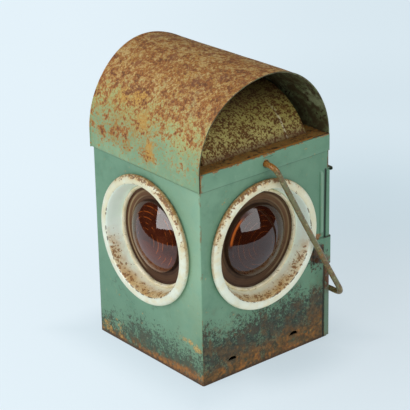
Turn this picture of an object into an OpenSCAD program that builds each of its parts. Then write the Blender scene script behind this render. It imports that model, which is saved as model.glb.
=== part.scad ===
// Road safety lantern: square sheet body, barrel roof, three bull's-eye lenses, paraffin lamp inside
// Frame: origin at the middle of the base, +Z up, front lens faces -Y, sliding door at +Y

/* [Body] */
// Width over the side walls
body_w = 152; // [146:1:164]
// Depth from the front wall to the rear flanges
body_d = 151; // [146:1:164]
// Height of the roof deck's top face above the floor
deck_z = 203.7; // [196:0.1:220]
// Thickness of the body sheet
sheet_t = 1; // [0.8:0.1:1.4]
// Width of the flanges turned in at the rear of the side walls
rear_flange_w = 13; // [8:0.5:16]
// Height of the doorway in the rear
doorway_h = 164; // [140:1:168]
// Height of the rim turned up round the floor pan
pan_rim_h = 12; // [6:0.5:14]

/* [Collar and roof] */
// Height of the collar band round the body top
collar_h = 17; // [12:0.5:24]
// Thickness of the collar band
collar_t = 1.6; // [1:0.1:2.4]
// How far the collar stands above the deck
collar_lip = 0.8; // [0.4:0.1:2]
// How much smaller the barrel roof's radius is than half the body's depth
roof_inset = 0.5; // [0.4:0.1:3]
// Thickness of the roof sheet
roof_t = 1; // [0.8:0.1:1.6]
// Half chord of the inner arch, along X
arch_half = 63; // [58:0.5:66]
// Rise of the inner arch above the deck
arch_rise = 38; // [30:0.5:44]
// Gap between the inner arch's ends, at its crown, and the barrel roof
arch_gap = 3.5; // [2:0.1:8]
// Thickness of the inner arch and its end plates
arch_t = 0.8; // [0.6:0.1:1.2]
// Height of the end plates under the arch, which leave a smoke way above them
arch_end_h = 20; // [10:0.5:26]
// Margin of deck left inside the arch, round the chimney opening
chimney_margin = 11; // [8:0.5:20]

/* [Lens units] */
// Height of the lens centres
lens_z = 119; // [116:0.5:122]
// Distance from the side lenses' centres back to the rear flanges
side_lens_back = 79.8; // [78:0.1:82]
// Outer radius of the enamelled bezel
bezel_r = 61.5; // [59:0.1:63]
// How far the bezel's rim stands out of the wall
bezel_proud = 5; // [3:0.1:6]
// Width of the bezel's rolled rim
bezel_rim_w = 8; // [7:0.1:10]
// Depth of the dish behind the wall's outer face
dish_depth = 10; // [8:0.1:12]
// Inner radius of the dish at its bottom
dish_r = 48.5; // [47:0.1:50]
// Clear radius inside the dish's seat
seat_r = 46; // [44:0.1:46.4]
// Thickness of the bezel sheet
bezel_t = 1; // [0.8:0.1:1.2]
// Thickness of the seal between seat and lens
seal_t = 1; // [0.6:0.1:1.4]
// Thickness of the lens at its rim
lens_rim_t = 4; // [3:0.1:5]
// Radius of the lens dome at its foot
dome_r = 32; // [28:0.5:36]
// Height of the lens dome
dome_h = 13; // [9:0.5:15]
// Number of ridges on the lens round its dome
ridge_n = 4; // [2:1:6]
// Height of those ridges
ridge_h = 0.8; // [0.4:0.1:1.2]
// Number of stepped rings on the back of the lens
step_n = 6; // [3:1:8]
// Depth of the stepped rings
step_h = 0.9; // [0.4:0.1:1.2]

/* [Air slots] */
// Width of an air slot
slot_w = 11; // [8:0.5:14]
// Height of an air slot's middle above the floor
slot_z = 17.5; // [16:0.5:22]
// Place of the forward slot along Y
slot_y_front = -41.8; // [-46:0.1:-36]
// Place of the rearward slot along Y
slot_y_rear = 32.3; // [26:0.1:38]

/* [Door and guides] */
// Thickness of the door and its guides
door_t = 0.7; // [0.6:0.1:1]
// How far the guide lips reach over the door
guide_lip_w = 10; // [6:0.5:12]
// Width of the guide strip on the side wall
guide_side_w = 7; // [5:0.5:8]
// How far the guides reach above the doorway
guide_over = 6; // [4.5:0.5:8]
// Height of the guides' bottom ends
guide_foot = 1; // [0.6:0.1:2]
// How far the door's top edge is turned out
door_grip = 5; // [3:0.5:7]
// Width of the raised bead beside each guide
bead_w = 5; // [4:0.2:6]
// Height of the bead
bead_h = 1.2; // [0.8:0.1:1.6]

/* [Corner straps] */
// Height of a corner strap's lower edge
strap_z = 75; // [68:0.5:80]
// Height of a corner strap
strap_h = 28; // [20:0.5:30]
// Thickness of a corner strap
strap_t = 0.8; // [0.6:0.1:1.2]
// How far the strap reaches along the wall in front of the guide
strap_reach = 13; // [10:0.5:14]
// How far the strap's end is hooked over the guide's lip
strap_hook = 5; // [3:0.5:7]
// Distance from the strap's front edge to its rivets
rivet_inset = 4; // [3.5:0.1:5]
// Radius of a rivet's shank
rivet_r = 1.5; // [1:0.1:2]
// Radius of a rivet's head
rivet_head_r = 2.7; // [2.2:0.1:3.4]

/* [Bail] */
// Diameter of the bail wire
wire_d = 6.4; // [5:0.1:7]
// Depth of the bail's pivot below the deck
pivot_drop = 9.1; // [8.4:0.1:11]
// Place of the bail's pivot along Y
pivot_y = -1; // [-4:0.1:4]
// Straight stretch of wire between the collar and the bend
stub_out = 0.4; // [0.3:0.1:6]
// Length of the legs, from the pivot to the crossbar's centre line
leg_len = 167.5; // [155:0.5:175]
// Radius of the bends at the wire's centre line
bend_r = 10; // [8:0.2:10.4]
// Radius of the washers inside the side walls
washer_r = 7; // [5.5:0.1:8]
// Thickness of the washers
washer_t = 1.2; // [0.8:0.1:1.6]

/* [Lamp] */
// Outer radius of the oil font
font_r = 44; // [40:0.5:46]
// Height of the font's cup
font_h = 51; // [44:0.5:54]
// Height of the font's domed top
font_dome_h = 8; // [6:0.5:9]
// Thickness of the font sheet
font_t = 0.8; // [0.6:0.1:1]
// Height of the ring that holds the font in place
font_ring_h = 7; // [4:0.5:10]
// Inner radius of the burner's screw collar
collar_bore_r = 12.75; // [11.5:0.05:13.5]
// Height of the screw collar
burner_collar_h = 7; // [5:0.5:9]
// Radius of the burner's gallery
gallery_r = 20; // [18:0.5:21]
// Height of the gallery's rim
gallery_h = 8; // [6:0.5:9]
// Width of the wick
wick_w = 16; // [12:0.5:18]
// Thickness of the wick
wick_t = 3; // [2:0.1:3.5]
// Height of the wick tube above the gallery's floor
wick_tube_h = 36; // [33:0.5:40]
// How far the wick stands out of its tube
wick_show = 2; // [1:0.5:3]
// Outer radius of the flame cone
cone_r = 17; // [15.5:0.1:17.5]
// Radius of the winder's spindle
spindle_r = 1.5; // [1.2:0.1:1.8]
// Radius of the winder's spur wheels
spur_r = 4; // [3.6:0.1:4.4]
// Height of the spindle above the gallery's floor
spindle_rise = 12; // [11.5:0.1:14]
// Distance from the wick to the knob's outer face
knob_y = 51; // [47:0.5:54]
// Radius of the winder knob
knob_r = 8; // [6:0.5:9]
// Thickness of the winder knob
knob_t = 5; // [4:0.5:6]
// Radius of the filler neck
neck_r = 7; // [6:0.1:7.4]
// Height of the filler neck above the foot of its cap
neck_h = 6; // [4:0.5:8]
// Distance from the font's axis to the filler neck
neck_offset = 32; // [31:0.1:33]

/* [Clearances] */
// Gap between sheets that are soldered together
lap_gap = 0.1; // [0.05:0.01:0.2]
// Gap on each face of the sliding door
slide_gap = 0.15; // [0.1:0.01:0.25]
// Radial clearance of a shaft in its bore
run_gap = 0.05; // [0.02:0.01:0.1]
// Gap round a soft or free piece
soft_gap = 0.3; // [0.2:0.05:0.5]

/* [Hidden] */
$fn = 96;
half_w = body_w / 2;
half_d = body_d / 2;
deck_t = sheet_t;
wall_top = deck_z - deck_t;
collar_z = deck_z + collar_lip - collar_h;
collar_x = half_w + collar_t;
roof_r = half_d - roof_inset;
roof_y = lap_gap - roof_inset;
arch_r = (arch_half * arch_half + arch_rise * arch_rise) / (2 * arch_rise);
arch_axis_z = deck_z + arch_rise - arch_r;
arch_half_len = sqrt(pow(roof_r - roof_t, 2) - pow(arch_rise, 2)) - arch_gap;
cut_over = 5;

// Lens unit, measured outwards from the wall's outer face
side_lens_y = half_d - side_lens_back;
dish_top_r = bezel_r - bezel_rim_w;
hole_gap = 1;
wall_hole_r = dish_top_r + bezel_t + hole_gap;
seat_w = -dish_depth;
lens_face = seat_w - bezel_t - seal_t;
lens_back = lens_face - lens_rim_t;
lens_r = dish_r - lap_gap;
dome_sink = 0.5;
dome_foot = lens_face - dome_sink;
dome_ball = (dome_r * dome_r + dome_h * dome_h) / (2 * dome_h);
clamp_t = 1;
clamp_w = 5;
lug_r = 2.6;
lug_bite = 0.4;
lug_drop = 3;
lug_ring = dish_r + bezel_t + lug_r - lug_bite;
screw_r = 1.4;
screw_head_r = 2.4;
screw_head_h = 1.4;
screw_len = 5;
drive_w = 0.6;
lug_angles = [90, 210, 330];

// Door and guides
door_y = half_d + slide_gap;
lip_y = door_y + door_t + slide_gap;
rear_y = lip_y + door_t;
guide_x = half_w + door_t;
guide_y = rear_y - guide_side_w;
guide_top = doorway_h + guide_over;
door_inset = 1.4;
door_half = half_w - door_inset;
door_foot = guide_foot + slide_gap;
bead_gap = 0.4;
bead_start = 3;
bead_y = guide_y - bead_w / 2 - bead_gap;
bead_ball = (bead_w * bead_w / 4 + bead_h * bead_h) / (2 * bead_h);
strap_y = guide_y - strap_reach;
strap_x = guide_x + strap_t;
rivet_y = strap_y + rivet_inset;
rivet_zs = [strap_z + strap_h * 0.25, strap_z + strap_h * 0.75];
rivet_tail = 1;

// Bail
pivot_z = deck_z - pivot_drop;
leg_x = collar_x + stub_out + bend_r;
wire_r = wire_d / 2;
rest_gap = soft_gap;
bail_lean = asin((rear_y + rest_gap + wire_r - pivot_y) / leg_len);
pivot_hole_r = wire_r + run_gap;
washer_x = half_w - sheet_t - lap_gap - washer_t;
head_h = 2.3;
head_over = 1.6;
head_x = washer_x - lap_gap - head_h;

// Lamp
floor_z = sheet_t;
font_z = floor_z;
shoulder_z = font_z + font_h;
font_top_z = shoulder_z + font_dome_h;
top_hole_r = collar_bore_r;
burner_collar_t = 2.8;
collar_out_r = collar_bore_r + burner_collar_t;
gallery_z = font_top_z + burner_collar_h;
gallery_t = 1.2;
skirt_r = collar_bore_r - lap_gap;
tube_wall = 0.8;
wick_gap = 0.4;
tube_x = wick_t + 2 * (wick_gap + tube_wall);
tube_y = wick_w + 2 * (wick_gap + tube_wall);
tube_top = gallery_z + wick_tube_h;
wick_clear = 5;
wick_foot = font_z + wick_clear;
spindle_x = -(wick_t / 2 + soft_gap + spur_r);
spindle_z = gallery_z + spindle_rise;
spur_t = 2;
spur_gap = 0.5;
spur_y = wick_w / 4;
bearing_t = 1.3;
bearing_y = tube_y / 2;
knob_face_t = 1;
cone_foot = gallery_z + gallery_t + gallery_h;
cone_drop = 12;
cone_ball_z = tube_top - cone_drop;
neck_angle = 42;
neck_x = -neck_offset * cos(neck_angle);
neck_y = neck_offset * sin(neck_angle);
flat_w = 4.4;
flat_r = top_hole_r + flat_w;
cap_wall = 2.4;
cap_r = neck_r + cap_wall;
cap_t = 1.2;
dome_slope = (font_dome_h - font_t) / (font_r - flat_r);
cap_foot = shoulder_z + font_t + dome_slope * (font_r - neck_offset + cap_r) + soft_gap;
neck_top = cap_foot + neck_h;

// Paint and metal colours
paint_green = "#6f9a86";
rust_brown = "#8a5a2c";
arch_olive = "#8d8a55";
enamel_white = "#e6e4d2";
amber_glass = "#6a2a14";
tin_grey = "#9a9c98";
brass_yellow = "#b08d45";
wire_green = "#6e7358";
cotton_white = "#ddd3ba";

// A box given by its low and high corners
module span(low, high) {
    translate(low)
        cube(high - low);
}

// A tube that stands on the XY plane
module tube(outer, inner, height) {
    difference() {
        cylinder(r = outer, h = height);
        translate([0, 0, -1])
            cylinder(r = inner, h = height + 2);
    }
}

// Points of an arc in a profile
function arc(centre, r, from, to, steps = 8) =
    [for (i = [0 : steps]) let (a = from + (to - from) * i / steps) centre + r * [cos(a), sin(a)]];

// Places of the three lens units, local +Z pointing outwards and local +Y up
module at_front() {
    translate([0, -half_d, lens_z])
        rotate([90, 0, 0])
            children();
}

module at_right() {
    translate([half_w, side_lens_y, lens_z])
        rotate([90, 0, 90])
            children();
}

module at_left() {
    translate([-half_w, side_lens_y, lens_z])
        rotate([90, 0, -90])
            children();
}

// Floor pan with its turned-up rim
module base_pan() {
    pan_x = half_w - sheet_t - lap_gap;
    pan_front = half_d - sheet_t - lap_gap;
    color(rust_brown)
        difference() {
            span([-pan_x, -pan_front, 0], [pan_x, pan_front, pan_rim_h]);
            span([-pan_x + sheet_t, -pan_front + sheet_t, floor_z],
                [pan_x - sheet_t, pan_front - sheet_t, pan_rim_h + 1]);
        }
}

// Front wall with its lens hole
module front_wall() {
    color(paint_green)
        difference() {
            span([-half_w, -half_d, 0], [half_w, -half_d + sheet_t, wall_top]);
            at_front()
                translate([0, 0, -cut_over])
                    cylinder(r = wall_hole_r, h = 2 * cut_over);
        }
}

// Half-moon air slot, cut through a wall that faces X
module air_slot(y) {
    translate([0, y, slot_z - slot_w / 5])
        rotate([90, 0, 90])
            intersection() {
                translate([0, -slot_w * 0.1, 0])
                    cylinder(r = slot_w / 2, h = 3 * sheet_t, center = true);
                translate([-slot_w, 0, -2 * sheet_t])
                    cube([2 * slot_w, slot_w, 4 * sheet_t]);
            }
}

// Raised bead that runs up the wall beside the guide
module wall_bead() {
    low = strap_z + strap_h + bead_start;
    high = guide_top;
    intersection() {
        translate([half_w + bead_h - bead_ball, bead_y, low])
            cylinder(r = bead_ball, h = high - low);
        span([half_w - sheet_t / 2, bead_y - bead_w, low - 1], [half_w + bead_w, bead_y + bead_w, high + 1]);
    }
}

// Right side wall: lens hole, air slots, bail hole, rear flange and bead
module right_wall() {
    color(paint_green)
        difference() {
            union() {
                span([half_w - sheet_t, -half_d + sheet_t, 0], [half_w, half_d, wall_top]);
                span([half_w - rear_flange_w, half_d - sheet_t, 0], [half_w, half_d, doorway_h]);
                wall_bead();
            }
            at_right()
                translate([0, 0, -cut_over])
                    cylinder(r = wall_hole_r, h = 2 * cut_over);
            for (y = [slot_y_front, slot_y_rear])
                translate([half_w - sheet_t / 2, 0, 0])
                    air_slot(y);
            translate([half_w - cut_over, pivot_y, pivot_z])
                rotate([0, 90, 0])
                    cylinder(r = pivot_hole_r, h = 2 * cut_over);
            for (z = rivet_zs)
                translate([half_w - cut_over, rivet_y, z])
                    rotate([0, 90, 0])
                        cylinder(r = rivet_r + run_gap, h = 2 * cut_over);
        }
}

module left_wall() {
    mirror([1, 0, 0])
        right_wall();
}

// Strip across the rear above the doorway
module rear_header() {
    color(paint_green)
        span([-half_w + sheet_t + lap_gap, half_d - sheet_t, doorway_h + lap_gap],
            [half_w - sheet_t - lap_gap, half_d, wall_top]);
}

// Folded guide for the door's right edge
module guide_right() {
    color(paint_green) {
        span([half_w, guide_y, guide_foot], [guide_x, rear_y, guide_top]);
        span([half_w - guide_lip_w, lip_y, guide_foot], [half_w + door_t / 2, rear_y, guide_top]);
    }
}

module guide_left() {
    mirror([1, 0, 0])
        guide_right();
}

// Strap that clips round the guide and is riveted to the wall
module strap_right() {
    color(paint_green)
        difference() {
            union() {
                span([half_w, strap_y, strap_z], [half_w + strap_t, guide_y - lap_gap, strap_z + strap_h]);
                span([half_w, guide_y - lap_gap - strap_t, strap_z],
                    [strap_x + lap_gap, guide_y - lap_gap, strap_z + strap_h]);
                span([guide_x + lap_gap, guide_y - lap_gap - strap_t, strap_z],
                    [strap_x + lap_gap, rear_y + lap_gap + strap_t, strap_z + strap_h]);
                span([half_w - strap_hook, rear_y + lap_gap, strap_z],
                    [strap_x + lap_gap, rear_y + lap_gap + strap_t, strap_z + strap_h]);
            }
            for (z = rivet_zs)
                translate([half_w - cut_over, rivet_y, z])
                    rotate([0, 90, 0])
                        cylinder(r = rivet_r + run_gap, h = 2 * cut_over);
        }
}

module strap_left() {
    mirror([1, 0, 0])
        strap_right();
}

// One rivet of the strap, head outside and closed end inside
module strap_rivet(z) {
    dome = rivet_head_r / 2;
    ball = (rivet_head_r * rivet_head_r + dome * dome) / (2 * dome);
    translate([half_w, rivet_y, z])
        rotate([0, 90, 0]) {
            translate([0, 0, -sheet_t - rivet_tail])
                cylinder(r = rivet_r, h = rivet_tail + sheet_t + strap_t + dome / 8);
            translate([0, 0, -sheet_t - rivet_tail])
                cylinder(r = rivet_head_r, h = rivet_tail);
            intersection() {
                translate([0, 0, strap_t + dome - ball])
                    sphere(r = ball);
                translate([0, 0, strap_t])
                    cylinder(r = rivet_head_r, h = 2 * dome);
            }
        }
}

module strap_rivets() {
    color(rust_brown)
        for (side = [0, 1], z = rivet_zs)
            mirror([side, 0, 0])
                strap_rivet(z);
}

// Collar band, front strip turned round the corners
module front_collar() {
    color(paint_green)
        span([-collar_x, -half_d - collar_t, collar_z], [collar_x, -half_d, deck_z + collar_lip]);
}

// Collar band, side strip with the bail's hole and a lip between the roof's feet
module collar_right() {
    lip_half = sqrt(pow(roof_r - roof_t, 2) - pow(collar_lip, 2)) - lap_gap;
    color(paint_green)
        difference() {
            union() {
                span([half_w, -half_d + lap_gap, collar_z], [collar_x, half_d, deck_z - lap_gap]);
                span([half_w, roof_y - lip_half, collar_z],
                    [collar_x, roof_y + lip_half, deck_z + collar_lip]);
            }
            translate([half_w - cut_over, pivot_y, pivot_z])
                rotate([0, 90, 0])
                    cylinder(r = pivot_hole_r, h = 2 * cut_over);
        }
}

module collar_left() {
    mirror([1, 0, 0])
        collar_right();
}

// Deck that closes the body top, with the chimney opening under the arch
module top_deck() {
    hole_x = arch_half - chimney_margin;
    hole_y = arch_half_len - chimney_margin;
    color(rust_brown)
        difference() {
            span([-half_w + lap_gap, -half_d + lap_gap, wall_top],
                [half_w - lap_gap, half_d - lap_gap, deck_z]);
            span([-hole_x, -hole_y, wall_top - 1], [hole_x, hole_y, deck_z + 1]);
        }
}

// Barrel roof, a half cylinder along X that is open at both ends
module roof_sheet() {
    color(rust_brown)
        intersection() {
            translate([-collar_x, roof_y, deck_z])
                rotate([0, 90, 0])
                    tube(roof_r, roof_r - roof_t, 2 * collar_x);
            span([-body_w, -body_d, deck_z], [body_w, body_d, deck_z + body_d]);
        }
}

// Low arch along Y that hoods the chimney opening
module inner_arch() {
    color(arch_olive)
        intersection() {
            translate([0, arch_half_len, arch_axis_z])
                rotate([90, 0, 0])
                    tube(arch_r, arch_r - arch_t, 2 * arch_half_len);
            span([-body_w, -body_d, deck_z], [body_w, body_d, deck_z + body_d]);
        }
}

// Low end plate under the arch, with the smoke way left open above it
module arch_end() {
    plate_r = arch_r - arch_t - lap_gap;
    color(arch_olive)
        intersection() {
            translate([0, -arch_half_len + arch_t, arch_axis_z])
                rotate([90, 0, 0])
                    cylinder(r = plate_r, h = arch_t);
            span([-body_w, -body_d, deck_z], [body_w, body_d, deck_z + arch_end_h]);
        }
}

module arch_end_front() {
    arch_end();
}

module arch_end_rear() {
    mirror([0, 1, 0])
        arch_end();
}

// Enamelled dish: rolled rim on the wall, cone inwards and a seat for the lens, with screw lugs behind
module bezel_unit() {
    roll = min(bezel_proud - bezel_t, bezel_rim_w / 2 - bezel_t) * 0.6;
    outer = concat(
        [[bezel_r, lap_gap]],
        arc([bezel_r - roll, bezel_proud - roll], roll, 0, 90),
        arc([dish_top_r + roll, bezel_proud - roll], roll, 90, 180),
        [[dish_r, seat_w], [seat_r, seat_w]],
        [[seat_r, seat_w - bezel_t], [dish_r + bezel_t, seat_w - bezel_t]],
        [[dish_top_r + bezel_t, bezel_proud - roll - bezel_t / 2]],
        arc([dish_top_r + roll + bezel_t / 2, bezel_proud - roll - bezel_t / 2], roll - bezel_t / 2, 180, 90),
        arc([bezel_r - roll - bezel_t / 2, bezel_proud - roll - bezel_t / 2], roll - bezel_t / 2, 90, 0),
        [[bezel_r - bezel_t, lap_gap]]);
    difference() {
        union() {
            rotate_extrude()
                polygon(outer);
            for (a = lug_angles)
                rotate(a)
                    translate([lug_ring, 0, lens_back])
                        cylinder(r = lug_r, h = -lens_back - lug_drop);
        }
        // The dish itself stays clear of the lugs
        translate([0, 0, seat_w])
            cylinder(r1 = dish_r, r2 = dish_top_r, h = bezel_proud - roll - seat_w);
        for (a = lug_angles)
            rotate(a)
                translate([lug_ring, 0, lens_back - 1])
                    cylinder(r = screw_r + run_gap, h = screw_len + 1);
    }
}

module bezel_front() {
    color(enamel_white)
        at_front()
            bezel_unit();
}

module bezel_right() {
    color(enamel_white)
        at_right()
            bezel_unit();
}

module bezel_left() {
    color(enamel_white)
        at_left()
            bezel_unit();
}

// Putty ring between the seat and the lens
module seal_unit() {
    translate([0, 0, lens_face])
        tube(lens_r, seat_r, seal_t);
}

module seal_front() {
    color(enamel_white)
        at_front()
            seal_unit();
}

module seal_right() {
    color(enamel_white)
        at_right()
            seal_unit();
}

module seal_left() {
    color(enamel_white)
        at_left()
            seal_unit();
}

// Bull's-eye lens: rim, ring of ridges, dome in front and stepped rings behind
module lens_unit() {
    dome_half = asin(dome_r / dome_ball);
    pitch = (seat_r - dome_r) / (ridge_n + 0.5);
    step_pitch = dome_r / step_n;
    ridges = [for (i = [0 : ridge_n - 1], k = [0 : 2])
        [seat_r - pitch * (i + 0.25 + k * 0.4), dome_foot + (k == 1 ? ridge_h : 0)]];
    steps = [for (i = [0 : step_n - 1], k = [0, 1])
        [max(step_pitch * (i + k * 0.98), 0), lens_back + (k == 0 ? step_h : 0)]];
    rotate_extrude()
        polygon(concat(
            [for (i = [0 : 12]) let (a = dome_half * i / 12)
                [dome_ball * sin(a), dome_foot + dome_h - dome_ball + dome_ball * cos(a)]],
            [for (i = [len(ridges) - 1 : -1 : 0]) ridges[i]],
            [[seat_r, dome_foot], [seat_r, lens_face], [lens_r, lens_face], [lens_r, lens_back],
                [dome_r + 1, lens_back]],
            [for (i = [len(steps) - 1 : -1 : 0]) steps[i]]));
}

module lens_front() {
    color(amber_glass)
        at_front()
            lens_unit();
}

module lens_right() {
    color(amber_glass)
        at_right()
            lens_unit();
}

module lens_left() {
    color(amber_glass)
        at_left()
            lens_unit();
}

// Clamp ring behind the lens, with an ear at each lug
module clamp_unit() {
    clamp_in = lens_r - clamp_w;
    difference() {
        union() {
            translate([0, 0, lens_back - clamp_t])
                tube(dish_r + bezel_t, clamp_in, clamp_t);
            for (a = lug_angles)
                rotate(a)
                    translate([lug_ring, 0, lens_back - clamp_t])
                        cylinder(r = lug_r, h = clamp_t);
        }
        for (a = lug_angles)
            rotate(a)
                translate([lug_ring, 0, lens_back - clamp_t - 1])
                    cylinder(r = screw_r + run_gap, h = clamp_t + 2);
    }
}

module clamp_front() {
    color(tin_grey)
        at_front()
            clamp_unit();
}

module clamp_right() {
    color(tin_grey)
        at_right()
            clamp_unit();
}

module clamp_left() {
    color(tin_grey)
        at_left()
            clamp_unit();
}

// Cheese-head screws of one clamp ring
module clamp_screw_set() {
    for (a = lug_angles)
        rotate(a)
            translate([lug_ring, 0, lens_back - clamp_t])
                difference() {
                    union() {
                        cylinder(r = screw_r, h = screw_len - soft_gap);
                        translate([0, 0, -screw_head_h])
                            cylinder(r = screw_head_r, h = screw_head_h);
                    }
                    translate([-screw_head_r, -drive_w / 2, -screw_head_h - drive_w])
                        cube([2 * screw_head_r, drive_w, 2 * drive_w]);
                }
}

module clamp_screws() {
    color(brass_yellow) {
        at_front()
            clamp_screw_set();
        at_right()
            clamp_screw_set();
        at_left()
            clamp_screw_set();
    }
}

// Ring on the floor that keeps the font in its place
module font_ring() {
    ring_t = 1;
    color(tin_grey)
        translate([0, 0, floor_z])
            tube(font_r + soft_gap + ring_t, font_r + soft_gap, font_ring_h);
}

// Cup of the oil font
module font_cup() {
    color(tin_grey)
        difference() {
            translate([0, 0, font_z])
                cylinder(r = font_r, h = font_h);
            translate([0, 0, font_z + font_t])
                cylinder(r = font_r - font_t, h = font_h);
        }
}

// Domed top of the font with its filler neck
module font_top() {
    edge_z = shoulder_z;
    color(tin_grey)
        difference() {
            union() {
                rotate_extrude()
                    polygon([[font_r, edge_z], [font_r, edge_z + font_t], [flat_r, font_top_z],
                        [top_hole_r, font_top_z], [top_hole_r, font_top_z - font_t],
                        [flat_r, font_top_z - font_t], [font_r - 3 * font_t, edge_z]]);
                translate([neck_x, neck_y, shoulder_z + font_t])
                    cylinder(r = neck_r, h = neck_top - shoulder_z - font_t);
            }
            translate([neck_x, neck_y, shoulder_z - 1])
                cylinder(r = neck_r - font_t, h = neck_top - shoulder_z + 2);
        }
}

// Screw collar soldered on the font's top
module burner_collar() {
    color(brass_yellow)
        translate([0, 0, font_top_z])
            tube(collar_out_r, collar_bore_r, burner_collar_h);
}

// Burner: screwed skirt, gallery, wick tube and the spindle's bearings
module burner() {
    rim_t = 0.8;
    skirt_t = 1.2;
    skirt_drop = 3;
    skirt_h = burner_collar_h + skirt_drop;
    tube_drop = 2;
    bearing_w = 3;
    air_hole_r = 1.6;
    color(brass_yellow)
        difference() {
            union() {
                translate([0, 0, gallery_z - skirt_h])
                    tube(skirt_r, skirt_r - skirt_t, skirt_h + gallery_t / 2);
                translate([0, 0, gallery_z])
                    cylinder(r = gallery_r, h = gallery_t);
                translate([0, 0, gallery_z])
                    tube(gallery_r, gallery_r - rim_t, gallery_t + gallery_h);
                span([-tube_x / 2, -tube_y / 2, font_top_z - tube_drop], [tube_x / 2, tube_y / 2, tube_top]);
                for (side = [-1, 1])
                    translate([0, side * (bearing_y - bearing_t / 2), 0])
                        span([spindle_x - bearing_w, -bearing_t / 2, gallery_z],
                            [0, bearing_t / 2, spindle_z + bearing_w]);
            }
            span([-wick_t / 2 - wick_gap, -wick_w / 2 - wick_gap, font_top_z - 2 * tube_drop],
                [wick_t / 2 + wick_gap, wick_w / 2 + wick_gap, tube_top + tube_drop]);
            for (side = [-1, 1])
                span([-tube_x, side * spur_y - spur_t / 2 - spur_gap, spindle_z - spur_r - spur_gap],
                    [-wick_t / 2, side * spur_y + spur_t / 2 + spur_gap, spindle_z + spur_r + spur_gap]);
            translate([spindle_x, tube_y, spindle_z])
                rotate([90, 0, 0])
                    cylinder(r = spindle_r + run_gap, h = 2 * tube_y);
            for (a = [15 : 30 : 345])
                rotate(a)
                    translate([(gallery_r + skirt_r) / 2, 0, gallery_z - 1])
                        cylinder(r = air_hole_r, h = gallery_t + 2);
        }
}

// Flame cone: flanged sleeve with a domed, slotted top
module flame_cone() {
    wall = 0.7;
    flange_t = 0.8;
    flame_gap = 1;
    slot_x = tube_x + 2 * flame_gap;
    slot_y = tube_y + 2 * flame_gap;
    color(brass_yellow)
        difference() {
            union() {
                translate([0, 0, cone_foot])
                    tube(gallery_r, cone_r - wall, flange_t);
                translate([0, 0, cone_foot])
                    tube(cone_r, cone_r - wall, cone_ball_z - cone_foot);
                intersection() {
                    translate([0, 0, cone_ball_z])
                        difference() {
                            sphere(r = cone_r);
                            sphere(r = cone_r - wall);
                        }
                    translate([0, 0, cone_ball_z])
                        cylinder(r = 2 * cone_r, h = 2 * cone_r);
                }
            }
            span([-slot_x / 2, -slot_y / 2, cone_ball_z], [slot_x / 2, slot_y / 2, cone_ball_z + 2 * cone_r]);
            span([spindle_x - spindle_r - spur_gap, 0, cone_foot - flange_t],
                [spindle_x + spindle_r + spur_gap, gallery_r + flange_t, spindle_z + spindle_r + spur_gap]);
        }
}

// Milled cap on the filler neck
module filler_cap() {
    mill_n = 24;
    mill_r = 0.6;
    mill_out = 0.2;
    depth = neck_top + soft_gap - cap_foot;
    color(brass_yellow)
        translate([neck_x, neck_y, 0])
            difference() {
                translate([0, 0, cap_foot])
                    cylinder(r = cap_r, h = depth + cap_t);
                translate([0, 0, cap_foot - cap_t])
                    cylinder(r = neck_r + soft_gap, h = depth + cap_t);
                for (i = [0 : mill_n - 1])
                    rotate(i * 360 / mill_n)
                        translate([cap_r + mill_out, 0, cap_foot - cap_t])
                            cylinder(r = mill_r, h = depth + 3 * cap_t);
            }
}

// Spindle of the wick winder
module winder_spindle() {
    start = -bearing_y - spindle_r;
    color(brass_yellow)
        translate([spindle_x, start, spindle_z])
            rotate([-90, 0, 0])
                cylinder(r = spindle_r, h = knob_y - knob_face_t - start);
}

// Spur wheels that carry the wick
module winder_spurs() {
    teeth = 10;
    tooth_h = 1.1;
    root = spur_r - tooth_h;
    star = [for (i = [0 : 2 * teeth - 1]) let (a = i * 180 / teeth, r = i % 2 == 0 ? spur_r : root)
        r * [cos(a), sin(a)]];
    color(brass_yellow)
        for (side = [-1, 1])
            translate([spindle_x, side * spur_y - spur_t / 2, spindle_z])
                rotate([-90, 0, 0])
                    difference() {
                        linear_extrude(height = spur_t)
                            polygon(star);
                        translate([0, 0, -1])
                            cylinder(r = spindle_r + run_gap, h = spur_t + 2);
                    }
}

// Milled knob on the spindle's end
module winder_knob() {
    mill_n = 20;
    mill_r = 0.7;
    mill_out = 0.2;
    color(brass_yellow)
        translate([spindle_x, knob_y - knob_t, spindle_z])
            rotate([-90, 0, 0])
                difference() {
                    cylinder(r = knob_r, h = knob_t);
                    translate([0, 0, -knob_face_t])
                        cylinder(r = spindle_r + run_gap, h = knob_t);
                    for (i = [0 : mill_n - 1])
                        rotate(i * 360 / mill_n)
                            translate([knob_r + mill_out, 0, -knob_t / 2])
                                cylinder(r = mill_r, h = 2 * knob_t);
                }
}

// Flat cotton wick
module wick() {
    color(cotton_white)
        span([-wick_t / 2, -wick_w / 2, wick_foot], [wick_t / 2, wick_w / 2, tube_top + wick_show]);
}

// Sliding door with its top edge turned out as a grip
module rear_door() {
    color(paint_green) {
        span([-door_half, door_y, door_foot], [door_half, door_y + door_t, guide_top + door_t]);
        span([-door_half, door_y, guide_top], [door_half, rear_y + door_grip, guide_top + door_t]);
    }
}

// Quarter bend of the bail wire, from +X towards -Z
module wire_bend() {
    rotate([90, 0, 0])
        translate([0, -bend_r, 0])
            rotate_extrude(angle = 90)
                translate([bend_r, 0])
                    circle(r = wire_r);
}

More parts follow.
